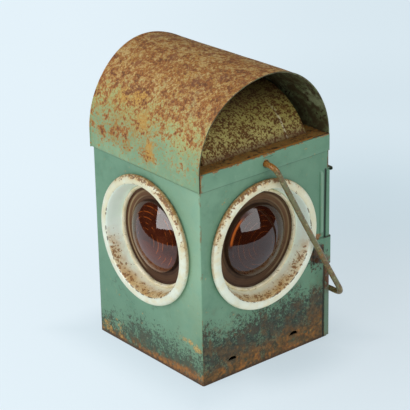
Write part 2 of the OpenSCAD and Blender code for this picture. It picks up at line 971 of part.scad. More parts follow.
// One half of the bail, hanging straight down from its pivot
module half_bail() {
    straight_x = leg_x - bend_r;
    translate([head_x, 0, 0])
        rotate([0, 90, 0])
            cylinder(r = wire_r, h = straight_x - head_x);
    translate([head_x, 0, 0])
        rotate([0, 90, 0])
            cylinder(r = wire_r + head_over, h = head_h);
    translate([straight_x, 0, 0])
        wire_bend();
    translate([leg_x, 0, -leg_len + bend_r])
        cylinder(r = wire_r, h = leg_len - 2 * bend_r);
    translate([straight_x, 0, -leg_len])
        mirror([0, 0, 1])
            wire_bend();
    translate([0, 0, -leg_len])
        rotate([0, 90, 0])
            cylinder(r = wire_r, h = straight_x);
}

// Wire handle, leaning back on the guides
module bail() {
    color(wire_green)
        translate([0, pivot_y, pivot_z])
            rotate([bail_lean, 0, 0])
                for (side = [0, 1])
                    mirror([side, 0, 0])
                        half_bail();
}

// Washers on the bail's ends inside the side walls
module bail_washers() {
    color(tin_grey)
        for (side = [0, 1])
            mirror([side, 0, 0])
                translate([washer_x, pivot_y, pivot_z])
                    rotate([0, 90, 0])
                        tube(washer_r, pivot_hole_r, washer_t);
}

base_pan();
front_wall();
right_wall();
left_wall();
rear_header();
guide_right();
guide_left();
strap_right();
strap_left();
strap_rivets();
front_collar();
collar_right();
collar_left();
top_deck();
roof_sheet();
inner_arch();
arch_end_front();
arch_end_rear();
bezel_front();
bezel_right();
bezel_left();
seal_front();
seal_right();
seal_left();
lens_front();
lens_right();
lens_left();
clamp_front();
clamp_right();
clamp_left();
clamp_screws();
font_ring();
font_cup();
font_top();
burner_collar();
burner();
flame_cone();
filler_cap();
winder_spindle();
winder_spurs();
winder_knob();
wick();
rear_door();
bail();
bail_washers();
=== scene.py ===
import math
import bmesh
import bpy
from mathutils import Matrix, Quaternion, Vector, noise


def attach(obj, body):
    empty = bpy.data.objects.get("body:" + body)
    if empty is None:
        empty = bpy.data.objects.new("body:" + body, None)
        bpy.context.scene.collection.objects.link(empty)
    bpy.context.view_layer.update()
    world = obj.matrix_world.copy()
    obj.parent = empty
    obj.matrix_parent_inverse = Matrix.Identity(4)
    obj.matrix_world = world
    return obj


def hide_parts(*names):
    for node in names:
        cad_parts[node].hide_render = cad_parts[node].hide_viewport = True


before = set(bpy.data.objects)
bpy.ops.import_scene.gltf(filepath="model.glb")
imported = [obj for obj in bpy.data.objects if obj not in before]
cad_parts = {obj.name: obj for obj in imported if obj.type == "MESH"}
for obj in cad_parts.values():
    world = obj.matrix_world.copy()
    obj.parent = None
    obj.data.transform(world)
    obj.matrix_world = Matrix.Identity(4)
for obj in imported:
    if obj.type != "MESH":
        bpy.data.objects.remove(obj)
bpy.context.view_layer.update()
scene = bpy.context.scene
scene.view_settings.view_transform = "Standard"
mm = 0.001
print("frame loaded:", len(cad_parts), "nodes")


# camera, matched to the photograph's frame of 410 x 410
eye = dict(focal=1852.43, frame=410, sensor=36, place=(1204.3, -996.27, 799.62), turn=50.604, drop=23.165, roll=-1.173)


def setCamera():
    turn, drop, roll = (math.radians(eye[k]) for k in ("turn", "drop", "roll"))
    ahead = Vector((-math.sin(turn) * math.cos(drop), math.cos(turn) * math.cos(drop), -math.sin(drop)))
    side = ahead.cross(Vector((0, 0, 1))).normalized()
    over = side.cross(ahead)
    right = side * math.cos(roll) + over * math.sin(roll)
    top = over * math.cos(roll) - side * math.sin(roll)
    data = bpy.data.cameras.new("eye")
    data.sensor_width = eye["sensor"]
    data.lens = eye["focal"] / eye["frame"] * eye["sensor"]
    data.clip_start, data.clip_end = 0.05, 40
    camera = bpy.data.objects.new("eye", data)
    turned = Matrix((right, top, -ahead)).transposed().to_4x4()
    camera.matrix_world = Matrix.Translation(Vector(eye["place"]) * mm) @ turned
    scene.collection.objects.link(camera)
    scene.camera = camera


setCamera()


# node kit: sockets take part in sums, other nodes come from one method
def tint(code):  # sRGB hex to linear
    levels = [int(code[k:k + 2], 16) / 255 for k in (0, 2, 4)]
    return tuple(v / 12.92 if v <= 0.04045 else ((v + 0.055) / 1.055) ** 2.4 for v in levels) + (1.0,)


def pick(sockets, key):
    if isinstance(key, int):
        return sockets[key]
    return next(s for s in sockets if key in (s.identifier, s.name))


class Wire:
    def __init__(self, bench, socket):
        self.bench, self.socket = bench, socket

    def __abs__(self):
        return self.bench.sum("ABSOLUTE", self)

    def __add__(self, other):
        return self.bench.sum("ADD", self, other)

    def __radd__(self, other):
        return self.bench.sum("ADD", other, self)

    def __sub__(self, other):
        return self.bench.sum("SUBTRACT", self, other)

    def __rsub__(self, other):
        return self.bench.sum("SUBTRACT", other, self)

    def __mul__(self, other):
        return self.bench.sum("MULTIPLY", self, other)

    def __rmul__(self, other):
        return self.bench.sum("MULTIPLY", other, self)

    def __truediv__(self, other):
        return self.bench.sum("DIVIDE", self, other)

    def __rtruediv__(self, other):
        return self.bench.sum("DIVIDE", other, self)


class Bench:
    def __init__(self, tree):
        self.tree = tree

    def node(self, kind, settings=None, sockets=None, out=0):  # colours are given as hex
        made = self.tree.nodes.new(kind)
        for key, value in (settings or {}).items():
            setattr(made, key, value)
        for key, value in (sockets or {}).items():
            socket = pick(made.inputs, key)
            for one in value if isinstance(value, list) else [value]:
                if isinstance(one, Wire):
                    self.tree.links.new(one.socket, socket)
                else:
                    socket.default_value = tint(one) if socket.type == "RGBA" else one
        return Wire(self, pick(made.outputs, out)) if made.outputs else made

    def sum(self, operation, a, b=0.0):
        return self.node("ShaderNodeMath", {"operation": operation}, {0: a, 1: b})

    def both(self, first, *others):  # the highest of them
        for other in others:
            first = self.sum("MAXIMUM", first, other)
        return first

    def vector(self, operation, a, b=(0, 0, 0), scale=None, out="Vector"):
        sockets = {0: a, 1: b} if scale is None else {0: a, "Scale": scale}
        return self.node("ShaderNodeVectorMath", {"operation": operation}, sockets, out)

    def ease(self, value, low, high, a=0.0, b=1.0, curve="LINEAR"):  # ramp, clamped
        sockets = {"Value": value, "From Min": low, "From Max": high, "To Min": a, "To Max": b}
        return self.node("ShaderNodeMapRange", {"interpolation_type": curve}, sockets)

    def step(self, value, low, high, a=0.0, b=1.0):  # soft edge from low to high
        return self.ease(value, low, high, a, b, "SMOOTHSTEP")

    def line(self, value, at, outer, inner):  # soft stripe
        return self.step(abs(value - at), outer, inner)

    def shown(self):  # 1 for what is seen straight, in gloss or through glass
        rays = ("Is Camera Ray", "Is Glossy Ray", "Is Transmission Ray")
        return self.both(*(self.node("ShaderNodeLightPath", {}, {}, k) for k in rays))


class Finish(Bench):  # a material on Object coordinates, in millimetres
    def __init__(self, name):
        self.material = bpy.data.materials.new(name)
        self.material.use_nodes = True
        super().__init__(self.material.node_tree)
        self.tree.nodes.clear()
        self.place = self.vector("SCALE", self.node("ShaderNodeTexCoord", {}, {}, "Object"), scale=1000.0)
        self.x, self.y, self.z = (self.node("ShaderNodeSeparateXYZ", {}, {0: self.place}, k) for k in range(3))

    def grain(self, size, detail, rough, seed, warp=0.0, stretch=(1, 1, 1)):  # noise, size in millimetres
        at = self.vector("MULTIPLY", self.place, tuple(s / size for s in stretch))
        return self.node("ShaderNodeTexNoise", {"noise_dimensions": "4D"},
                         {"Vector": at, "W": seed * 3.7 + 0.3, "Scale": 1.0, "Detail": detail, "Roughness": rough,
                          "Distortion": warp})

    def grains(self, rough, seed, *sizes):  # several sizes, with seeds counted up
        return [self.grain(size, detail, rough, seed + k) for k, (size, detail) in enumerate(sizes)]

    def cells(self, size, seed):  # one level for each cell
        at = self.vector("MULTIPLY", self.place, (1 / size,) * 3)
        level = self.node("ShaderNodeTexVoronoi", {"voronoi_dimensions": "4D"},
                          {"Vector": at, "W": seed * 2.3 + 0.1, "Scale": 1.0}, "Color")
        return self.node("ShaderNodeSeparateColor", {}, {0: level})

    def blend(self, amount, under, over):
        return self.node("ShaderNodeMix", {"data_type": "RGBA"},
                         {"Factor_Float": amount, "A_Color": under, "B_Color": over}, "Result_Color")

    def fade(self, value, low, high, under, over):
        return self.blend(self.step(value, low, high), under, over)

    def coat(self, amount, over):  # one more layer on the colour so far
        self.colour = self.blend(amount, self.colour, over)

    def blob(self, centre, reach, soft):  # 1 inside a stretched ball, fading at its edge
        gone = self.vector("SUBTRACT", self.place, centre)
        gone = self.vector("DIVIDE", gone, reach)
        return self.step(self.vector("LENGTH", gone, out="Value"), 1.0, 1.0 - soft)

    def blobs(self, soft, *pairs):
        return self.both(*(self.blob(centre, reach, soft) for centre, reach in pairs))

    def attribute(self, name):
        return self.node("ShaderNodeAttribute", {"attribute_type": "GEOMETRY", "attribute_name": name}, {}, "Fac")

    def done(self, surface):
        self.node("ShaderNodeOutputMaterial", {}, {"Surface": surface})
        return self.material

    def close(self, rough, height, depth, gloss=0.5, metal=0.0, dusty=None, **fixed):  # depth of the bump in millimetres
        bump = self.node("ShaderNodeBump", {}, {"Height": height, "Distance": depth * mm, "Strength": 1.0})
        skin = self.node("ShaderNodeBsdfPrincipled", {},
                         {"Base Color": self.colour, "Roughness": rough, "Metallic": metal, "Normal": bump,
                          "Specular IOR Level": gloss, **fixed})
        if dusty is not None:  # a dull film over part of a glossy skin
            film = self.node("ShaderNodeBsdfPrincipled", {},
                             {"Base Color": self.colour, "Roughness": 0.75, "Specular IOR Level": 0.15})
            skin = self.node("ShaderNodeMixShader", {}, {0: dusty, 1: skin, 2: film})
        return self.done(skin)


# sage paint of the case: faded green, mottled towards the foot, rust along the edges
sage = dict(pale="7ba58a", main="6b967d", deep="56836b", warm="94aa84", thin="486b50", dark="22271e", earth="46382a",
            rust="744820", orange="a56a26", soot="4b463a")


def sagePaint():
    f = Finish("sagePaint")
    broad, mid, fine, tiny = f.grains(0.55, 1, (55, 3), (11, 4), (3.2, 3), (1.1, 2))
    front = f.step(f.y, -74.6, -75.2)
    side = f.step(abs(f.x), 75.1, 75.5)
    rear = f.ease(f.y, -60, 70)
    f.colour = f.fade(broad, 0.35, 0.65, sage["main"], sage["pale"])
    f.coat(f.step(mid, 0.45, 0.72) * 0.5, sage["deep"])
    f.coat(f.step(fine, 0.52, 0.78) * 0.3, "93af96")
    f.coat(f.ease(f.x, 10, 78) * front * f.step(mid, 0.3, 0.6) * 0.4, sage["warm"])
    f.coat(f.both(f.ease(f.x, 10, -76) * front * 0.5, f.ease(f.y, -30, 72) * side * 0.55), sage["deep"])
    f.coat(front * f.ease(f.x, 15, 74) * f.ease(f.z, 55, 110) * 0.36, "9cc7ad")
    f.coat(front * f.step(f.z + (mid - 0.5) * 20, 86, 40) * 0.3, sage["deep"])
    f.coat(side * f.ease(f.z, 150, 200, 0.3, 0.2), "4f7862")
    strip = f.step(f.y, 70.6, 71.6)  # the guide keeps its paint down to the foot
    side = side * (1 - strip * 0.85)
    back = f.step(f.y, 75.7, 76.1) * f.step(abs(f.x), 72, 70)
    wall = f.both(side, back * 0.8)
    wave = f.z + (broad - 0.5) * 36 + (mid - 0.5) * 14
    worm, flake, cloud = f.grain(3.0, 5, 0.68, 7, 1.0), f.grain(1.6, 3, 0.6, 8), f.grain(9, 5, 0.66, 9)
    sideLow = f.step(wave, 84, 26) * wall
    low = f.both(sideLow, f.step(wave - f.ease(f.x, -76, 0) * 8, 52, 0) * front * 0.85)
    f.coat(low * 0.6, sage["thin"])
    mottle = f.step(worm * 0.72 + mid * 0.28 + low * 0.27 - 0.618, 0.0, 0.08) * f.step(low, 0.0, 0.1)
    dark = f.fade(fine, 0.38, 0.64, sage["dark"], "37443a")
    dark = f.blend(f.step(mid, 0.48, 0.62) * 0.7, dark, sage["earth"])
    f.coat(mottle * (0.95 - front * 0.15), dark)
    curl = f.step(flake + (0.5 - mid) * 0.5 + (worm - 0.5) * 0.3, 0.55, 0.65) * f.step(low, 0.1, 0.45)
    f.coat(curl * 0.5, "6a8c6c")
    brown = f.step(f.grain(14, 4, 0.6, 13) + (fine - 0.5) * 0.3 + f.step(f.y, 30, 70) * 0.06, 0.5, 0.62) * sideLow
    f.coat(brown * 0.75, f.fade(fine, 0.36, 0.64, "382d1a", "604625"))
    climb = f.z + (cloud - 0.5) * 34 - rear * 10 - f.step(f.y, 40, 72) * 6
    earth = f.step(climb, 25, 6) * wall
    ground = f.fade(fine, 0.36, 0.64, "4a381b", "6e4d22")
    f.coat(earth * (0.55 + f.step(mid * 0.6 + fine * 0.4, 0.4, 0.56) * 0.4), ground)
    frontEarth = f.step(f.z + (cloud - 0.5) * 30, 19, 2) * front * f.step(mid * 0.5 + fine * 0.5, 0.43, 0.57)
    f.coat(frontEarth * 0.8, ground)
    bloom = f.step(f.grain(7, 5, 0.66, 14), 0.46, 0.62) * f.step(climb, 20, 2) * wall * f.step(f.y, 74, 40, 0.35, 1.0)
    sill = f.step(f.z + (cloud - 0.5) * 18 - f.ease(f.x, -20, 76) * 5, 8.0, 2.5) * f.ease(f.x, -72, 10, 0.4, 1.0)
    bloom = f.both(bloom, sill * front * f.step(fine * 0.5 + mid * 0.5, 0.36, 0.52))
    f.coat(bloom * 0.8, f.fade(fine, 0.35, 0.65, sage["rust"], sage["orange"]))
    yellow = f.blobs(0.95, ((-66, -75.5, 8), (15, 5, 13)), ((-46, -75.5, 15), (11, 5, 16)), ((56, -75.5, 37), (20, 5, 7)),
                     ((68, -75.5, 35), (15, 5, 9)))
    yellow = f.step(yellow + (mid - 0.5) * 1.8 + (fine - 0.5) * 2.6, 0.45, 1.0)
    f.coat(yellow * 0.8, f.fade(tiny, 0.4, 0.6, "96733a", "cfa75a"))
    scratch = f.line(f.grain(22, 2, 0.5, 10), 0.5, 0.010, 0.003) * f.step(wave, 90, 30) * f.step(mid, 0.5, 0.6)
    f.coat(scratch * 0.6, "3c4a3c")
    spot = f.step(f.grain(4.2, 3, 0.6, 11), 0.70, 0.76)
    chip = f.step(f.grain(2.2, 3, 0.6, 12), 0.68, 0.73) * f.step(broad, 0.42, 0.62)
    f.coat(f.both(spot, chip) * 0.75, f.blend(tiny, "4f3a22", "96622f"))
    hem = f.step(f.z + (fine - 0.5) * 5, 4.5, 1.2)
    f.coat(hem * 0.85, "3f2b18")
    patch = f.blob((76, 61, 86), (6, 16, 20), 0.9)
    patch = f.step(patch + (mid - 0.5) * 1.6 + (fine - 0.5) * 0.9, 0.38, 0.58)
    spread = f.blob((76, 63, 84), (6, 26, 32), 0.9) + (f.grain(2.4, 3, 0.6, 16) - 0.5) * 4.0
    patch = f.both(patch, f.step(spread, 0.85, 1.15) * 0.9)
    f.coat(patch * 0.92, f.fade(fine, 0.4, 0.66, "2b1a17", "5f3a26"))
    # painted highlight: the crest of the wall bead is painted paler
    beadHighlight = f.step(abs(f.x), 76.6, 77.4) * f.line(f.y, 66.8, 1.8, 0.8) * f.step(f.z, 105, 106) * f.step(f.z, 171, 170)
    f.coat(beadHighlight * 0.3, "a3c2ab")
    # painted shadow: a near-black line on the wall along the guide's front edge
    gapShadow = (f.step(abs(f.x), 75.3, 75.6) * f.step(abs(f.y - 70.9 - (f.z - 85) * 0.013), 1.3, 0.8)
           * f.step(abs(f.x), 76.2, 76.05) * f.step(f.z, 170.5, 169.5))
    f.coat(gapShadow * 0.92, "161d18")
    # painted shade: the door's folded lip is painted near-black where its end shows dark
    lip = f.step(f.y, 77.4, 78.6) * f.step(f.z, 164, 165)
    f.coat(lip * 0.85, f.fade(fine, 0.4, 0.6, "1f211a", "49402c"))
    chips = f.grain(7, 3, 0.6, 15, stretch=(1, 1, 0.35)) + (fine - 0.5) * 0.3
    corner = f.step(f.x - f.y, 149.6, 150.6) * f.step(chips, 0.53, 0.61)
    f.coat(corner * 0.8, f.blend(tiny, "55391f", "9a652f"))
    band = f.blob((77, 63, 105.5), (5, 7, 6), 0.8) + (mid - 0.5) * 1.2 + (fine - 0.5) * 0.8
    f.coat(f.step(band, 0.5, 0.8) * 0.85, f.fade(tiny, 0.4, 0.6, "6a4220", "a96d2e"))
    f.coat(strip * f.step(f.z, 80, 60) * 0.7, f.fade(mid, 0.4, 0.6, "5c7463", "666f57"))
    brownStrip = (f.step(f.y, 69.5, 71) * f.step(f.x, 75.9, 76.1) * f.step(f.z + (mid - 0.5) * 30, 88, 78)
                  * f.step(f.z + (mid - 0.5) * 20, 40, 52))
    f.coat(brownStrip * f.step(fine, 0.36, 0.5), f.blend(mid, "3a241a", "84532c"))
    seam = (f.step(f.y, -74.2, -75.0) * f.step(f.z, 187.2, 188) * f.step(f.x, 75.8, 76.1)
            + f.step(f.z + (fine - 0.5) * 5, 201.6, 203.2) * f.step(mid, 0.4, 0.55))
    seam = seam + f.blob((77, -1, 195.4), (9, 6.5, 6.5), 0.8) * 0.9
    f.coat(f.step(seam + (fine - 0.5) * 0.9, 0.35, 0.7) * 0.85, f.fade(tiny, 0.35, 0.65, "6b4322", "b07a38"))
    strapTop = (f.line(f.z, 102.7, 1.2, 0.5) * f.step(abs(f.x), 76.7, 76.9) * f.step(f.y, 57, 69, 0.4, 1.0)
                * f.step(f.y, 79, 78.5))
    f.coat(strapTop * 0.85, "2f2a20")
    rearEdge = (f.step(f.y, 73.2, 75.0) * f.line(f.z, 179, 10.5, 8) * f.step(abs(f.x), 75.0, 75.6)
                * f.step(mid * 0.5 + fine * 0.5, 0.4, 0.52))
    f.coat(rearEdge * 0.85, f.fade(tiny, 0.4, 0.6, "3d2a1a", "7c5227"))
    inside = f.step(abs(f.x), 75.45, 75.3) * f.step(f.y, -74.95, -74.8) * f.step(f.y, 75.1, 74.9)
    lining = f.fade(mid, 0.4, 0.62, sage["soot"], "6b5b42")
    f.coat(inside, f.fade(fine, 0.55, 0.7, lining, "5a3b22"))
    # painted shadow: a dark line on the walls just under the collars
    under = f.line(f.z, 186.9, 0.9, 0.3) * f.both(front, side)
    f.coat(under * 0.5, "2e4036")
    worn = f.both(mottle * 0.7, earth, patch, lip)
    rough = f.ease(worn + (mid - 0.5) * 0.6, 0.0, 1.0, 0.42, 0.78)
    height = mid * 0.25 + fine * 0.2 + tiny * 0.1 - mottle * 0.35 - spot * 0.3
    return f.close(rough, height, 0.35, gloss=0.4)


# roof paint: green at the foot, yellowed higher up, dense rust on the crown
def roofPaint():
    f = Finish("roofPaint")
    broad, mid, fine, tiny = f.grains(0.58, 21, (34, 3), (9, 4), (2.6, 3), (1.0, 2))
    rise = f.ease(f.z, 186, 278.7)
    lift = rise + (broad - 0.5) * 0.45
    f.colour = f.fade(mid, 0.4, 0.65, "7c9f7c", "8dab84")
    f.coat(f.step(lift + (mid - 0.5) * 0.4, 0.25, 0.6), "a2ab6c")
    f.coat(f.step(lift + (mid - 0.5) * 0.5, 0.5, 0.85), "c8ad76")
    bloom = f.blobs(0.95, ((-18, -63, 246), (24, 15, 17)), ((-4, -70, 230), (16, 12, 20)), ((10, -76, 207), (13, 10, 20)),
                    ((-38, -65, 243), (17, 15, 16)))
    run = f.blobs(0.95, ((-42, -76, 210), (16, 8, 19)), ((-24, -76, 203), (15, 8, 16)), ((6, -76, 201), (18, 8, 16)),
                  ((-58, -76, 206), (12, 8, 12)))
    bloom = f.step(bloom + (mid - 0.5) * 1.5 + (fine - 0.5) * 1.3, 0.2, 1.0)
    mouth = f.step(f.x + (mid - 0.5) * 14, 60, 78) * 0.1
    skirt = f.step(f.z + (mid - 0.5) * 9, 204, 194)  # the collar part stays green
    calm = f.step(f.x, 5, 45) * f.step(f.z, 244, 222)
    cover = f.ease(lift, -0.2, 0.72) + bloom * 0.12 + run * 0.65 + mouth - skirt * 0.25 - calm * 0.3
    dust = fine * 0.55 + mid * 0.45
    level = dust + cover * 0.16 - 0.622
    stain = f.step(level, -0.045, 0.03)
    f.coat(stain * 0.58, f.fade(mid, 0.35, 0.65, "b9822e", "a0702a"))
    speck = (f.step(f.grain(1.9, 3, 0.6, 26) + cover * 0.05, 0.545, 0.63)
             * f.step(f.z + (mid - 0.5) * 20 - f.ease(f.x, -20, 60) * 8, 176, 191))
    f.coat(speck * 0.75, f.fade(tiny, 0.35, 0.65, "a06c1e", "b98228"))
    haze = f.both(f.step(run + (mid - 0.5) * 1.2, 0.2, 0.9) * 0.5, f.blob((-25, -75, 222), (60, 30, 26), 0.9) * 0.25)
    f.coat(haze, "96803a")
    f.coat(bloom * 0.75, f.fade(fine, 0.4, 0.65, "c39338", "ad7d2c"))
    core = f.step(level - bloom * 0.05, 0.008, 0.05)
    f.coat(core * 0.88, f.fade(tiny, 0.35, 0.65, "854a26", "aa6b2c"))
    dark = f.step(level, 0.07, 0.125)
    f.coat(dark * 0.8, "5a3420")
    grit = f.step(f.grain(1.3, 2, 0.6, 25) + cover * 0.06, 0.56, 0.66)
    f.coat(grit * f.step(lift, 0.2, 0.7) * 0.6, "8a5a32")
    blot = f.step(f.grain(16, 4, 0.6, 27) + (fine - 0.5) * 0.4, 0.55, 0.68) * f.step(lift, 0.5, 0.85)
    f.coat(blot * 0.5, "80523a")
    pale = f.step(f.grain(1.8, 2, 0.5, 28), 0.56, 0.68) * f.step(lift, 0.35, 0.75)
    f.coat(pale * 0.5, "d2b66c")
    spot = f.step(f.grain(4.0, 3, 0.6, 29), 0.70, 0.75)
    f.coat(spot * 0.7, "66462a")
    f.coat(f.step(f.z + (mid - 0.5) * 6, 204, 200) * (1 - f.both(stain, speck, haze)) * 0.45,
           f.fade(mid, 0.4, 0.65, "7b9e80", "86aa8a"))
    brim = f.step(abs(f.x), 76.4, 76.9) * f.step(f.y, 5, 25)
    f.coat(brim * 0.7, "5d7763")
    lining = f.fade(mid, 0.42, 0.6, "48402a", "66704e")
    lining = f.fade(dust, 0.52, 0.6, lining, "3a2616")
    # painted highlight: a paler spot on the inner lining
    liningHighlight = f.blob((66, 66, 236), (22, 14, 26), 0.9)
    lining = f.blend(f.step(liningHighlight + (mid - 0.5) * 2.4, 0.5, 1.0) * 0.8, lining, "8f9a78")
    f.coat(f.attribute("lining"), lining)
    rough = f.ease(core + blot * 0.5 + (mid - 0.5) * 0.6, 0.0, 1.0, 0.48, 0.82)
    height = core * 0.3 + fine * 0.25 + tiny * 0.12 + mid * 0.2
    return f.close(rough, height, 0.35, gloss=0.35)


# olive arch, densely dotted with rust, with painted shade at the top
def archPaint():
    f = Finish("archPaint")
    broad, mid, fine, tiny = f.grains(0.6, 31, (26, 3), (7, 4), (1.8, 3), (1.0, 2))
    f.colour = f.fade(broad, 0.38, 0.62, "a19750", "aea45c")
    f.coat(f.step(mid, 0.42, 0.65) * 0.6, "86743b")
    run = f.grain(5, 3, 0.55, 35, stretch=(1, 1, 0.12))
    f.coat(f.step(run, 0.58, 0.72) * 0.6, "ae9f5c")
    drip = f.step(abs(f.y - 38 + (f.grain(14, 2, 0.5, 36) - 0.5) * 6), 1.6, 0.5) * f.step(f.z, 236, 222)
    f.coat(drip * 0.7, "cfc9a6")
    dust = fine * 0.75 + mid * 0.25
    halo = f.step(dust, 0.46, 0.52)
    f.coat(halo * 0.7, "82530f")
    dots = f.step(dust, 0.49, 0.54)
    f.coat(dots * 0.92, f.fade(tiny, 0.4, 0.6, "3e260e", "684216"))
    # painted shade: darker towards the top of the arch
    top = f.step(f.z + (broad - 0.5) * 14, 222, 243)
    f.coat(top * 0.7, "4a3220")
    foot = f.step(f.z + (mid - 0.5) * 8, 211, 204.5)
    f.coat(foot * 0.75, "5c3c20")
    rough = f.ease(dots + (mid - 0.5) * 0.5, 0, 1, 0.5, 0.85)
    return f.close(rough, dots * 0.3 + fine * 0.3 + mid * 0.2, 0.3, gloss=0.3)


# bare rusted sheet: deck, floor pan, rivets
def rustedSheet():
    f = Finish("rustedSheet")
    broad, mid, fine, tiny = f.grains(0.6, 41, (20, 3), (6, 4), (2, 3), (0.8, 2))
    f.colour = f.fade(broad, 0.38, 0.62, "80602c", "967338")
    f.coat(f.step(mid, 0.47, 0.64), "463019")
    f.coat(f.step(fine, 0.5, 0.62) * 0.8, "a66d2c")
    f.coat(f.step(tiny, 0.6, 0.7) * 0.5, "c08c50")
    # orange line along the deck's edge: rust, and partly a painted highlight of its raised rim
    edge = f.step(abs(f.x), 73.2, 75.0) * f.step(f.z, 200, 202) * f.step(mid, 0.36, 0.52)
    f.coat(edge * 0.8, "bd7d33")
    stud = f.step(abs(f.x), 75, 75.6) * f.step(f.y, 56, 57)
    f.coat(stud * 0.9, f.blend(fine, "251713", "4a2e20"))
    return f.close(f.ease(fine, 0.3, 0.7, 0.7, 0.92), fine * 0.4 + mid * 0.4 + tiny * 0.2, 0.4, gloss=0.25)


# white stove enamel of the lens dishes; these attributes give the place round the dish
ringMarks = ("ringRadius", "ringUp", "ringNear")


def whiteEnamel():
    f = Finish("whiteEnamel")
    radius, up, near = (f.attribute(k) for k in ringMarks)
    broad, mid, fine, tiny = f.grains(0.58, 51, (24, 3), (7, 4), (2.2, 3), (0.9, 2))
    dish = f.step(radius, 53.7, 52.9)
    rim = 1 - dish
    f.colour = f.fade(broad, 0.35, 0.65, f.blend(dish, "e6eee0", "f2fff8"), f.blend(dish, "d9e2d3", "eafbf1"))
    f.coat(f.step(mid, 0.52, 0.75) * (0.06 + rim * 0.3), "ddd8ba")
    lower = f.step(up - abs(near) * 0.25 + (mid - 0.5) * 0.6, -0.22, -0.78)
    outer = f.step(radius + (mid - 0.5) * 1.8, 49.4, 52.0)
    stain = dish * lower * (outer * 0.75 + 0.25)
    f.coat(stain * f.step(mid, 0.2, 0.5) * 0.72, "dcc088")
    pool = dish * f.step(up + (mid - 0.5) * 0.2, -0.7, -0.93)  # run together at the bottom
    f.coat(pool * (outer * 0.3 + 0.3), "d9b672")
    amber = stain * f.step(f.grain(8, 3, 0.6, 55), 0.42, 0.62)
    f.coat(amber * 0.55, "bd883e")
    dots = f.step(fine * 0.75 + mid * 0.25 + stain * 0.15, 0.645, 0.7)
    f.coat(dots * 0.85, f.fade(tiny, 0.4, 0.6, "6a421c", "a66d2e"))
    f.coat(rim * f.step(mid + broad * 0.4 + up * 0.2, 0.5, 0.85) * 0.45, "dccd98")
    f.coat(rim * f.step(up + (mid - 0.5) * 0.5, -0.55, -0.95) * f.step(mid, 0.3, 0.6) * 0.25, "e2cf9c")
    crown = rim * f.step(up * 0.9 + near * 0.3 + (broad - 0.5) * 0.8, 0.2, 0.95)
    edge = f.step(radius + (mid - 0.5) * 5, 56.5, 60.5)
    f.coat(crown * (edge * 0.7 + 0.1) * f.step(mid, 0.34, 0.6), "d2a658")
    rust = f.step(fine * 0.65 + mid * 0.35 + crown * edge * 0.15, 0.595, 0.65) * f.step(crown, 0.05, 0.4)
    f.coat(rust * 0.9, f.fade(tiny, 0.35, 0.65, "4c2f18", "96602a"))
    lip = f.step(radius + (fine - 0.5) * 0.9, 60.7, 61.3) * f.step(up * 0.8 + near * 0.35 + (mid - 0.5) * 1.2, -0.1, 0.6)
    f.coat(lip * 0.7, "a57c42")
    crack = f.line(radius, 53.4, 0.45, 0.2) * f.step(f.grain(3.5, 2, 0.5, 56) - up * 0.06, 0.52, 0.57)
    f.coat(crack * 0.85, "4a3a2a")
    rough = f.ease(f.both(rust, dots) + stain * 0.4 + (mid - 0.5) * 0.3, 0, 1, 0.3, 0.75)
    return f.close(rough, mid * 0.2 + fine * 0.1 - dots * 0.3 - rust * 0.4, 0.3)


# putty bead that holds the glass
def creamPutty():
    f = Finish("creamPutty")
    mid, fine, tiny = f.grains(0.58, 61, (8, 3), (2.2, 3), (0.9, 2))
    f.colour = f.fade(mid, 0.35, 0.65, "ebe3c8", "dccfa4")
    f.coat(f.step(fine, 0.56, 0.7) * 0.7, "8f7444")
    f.coat(f.step(tiny, 0.66, 0.72) * 0.7, "4d3a24")
    return f.close(f.ease(fine, 0.3, 0.7, 0.5, 0.75), fine * 0.5 + mid * 0.5, 0.3)


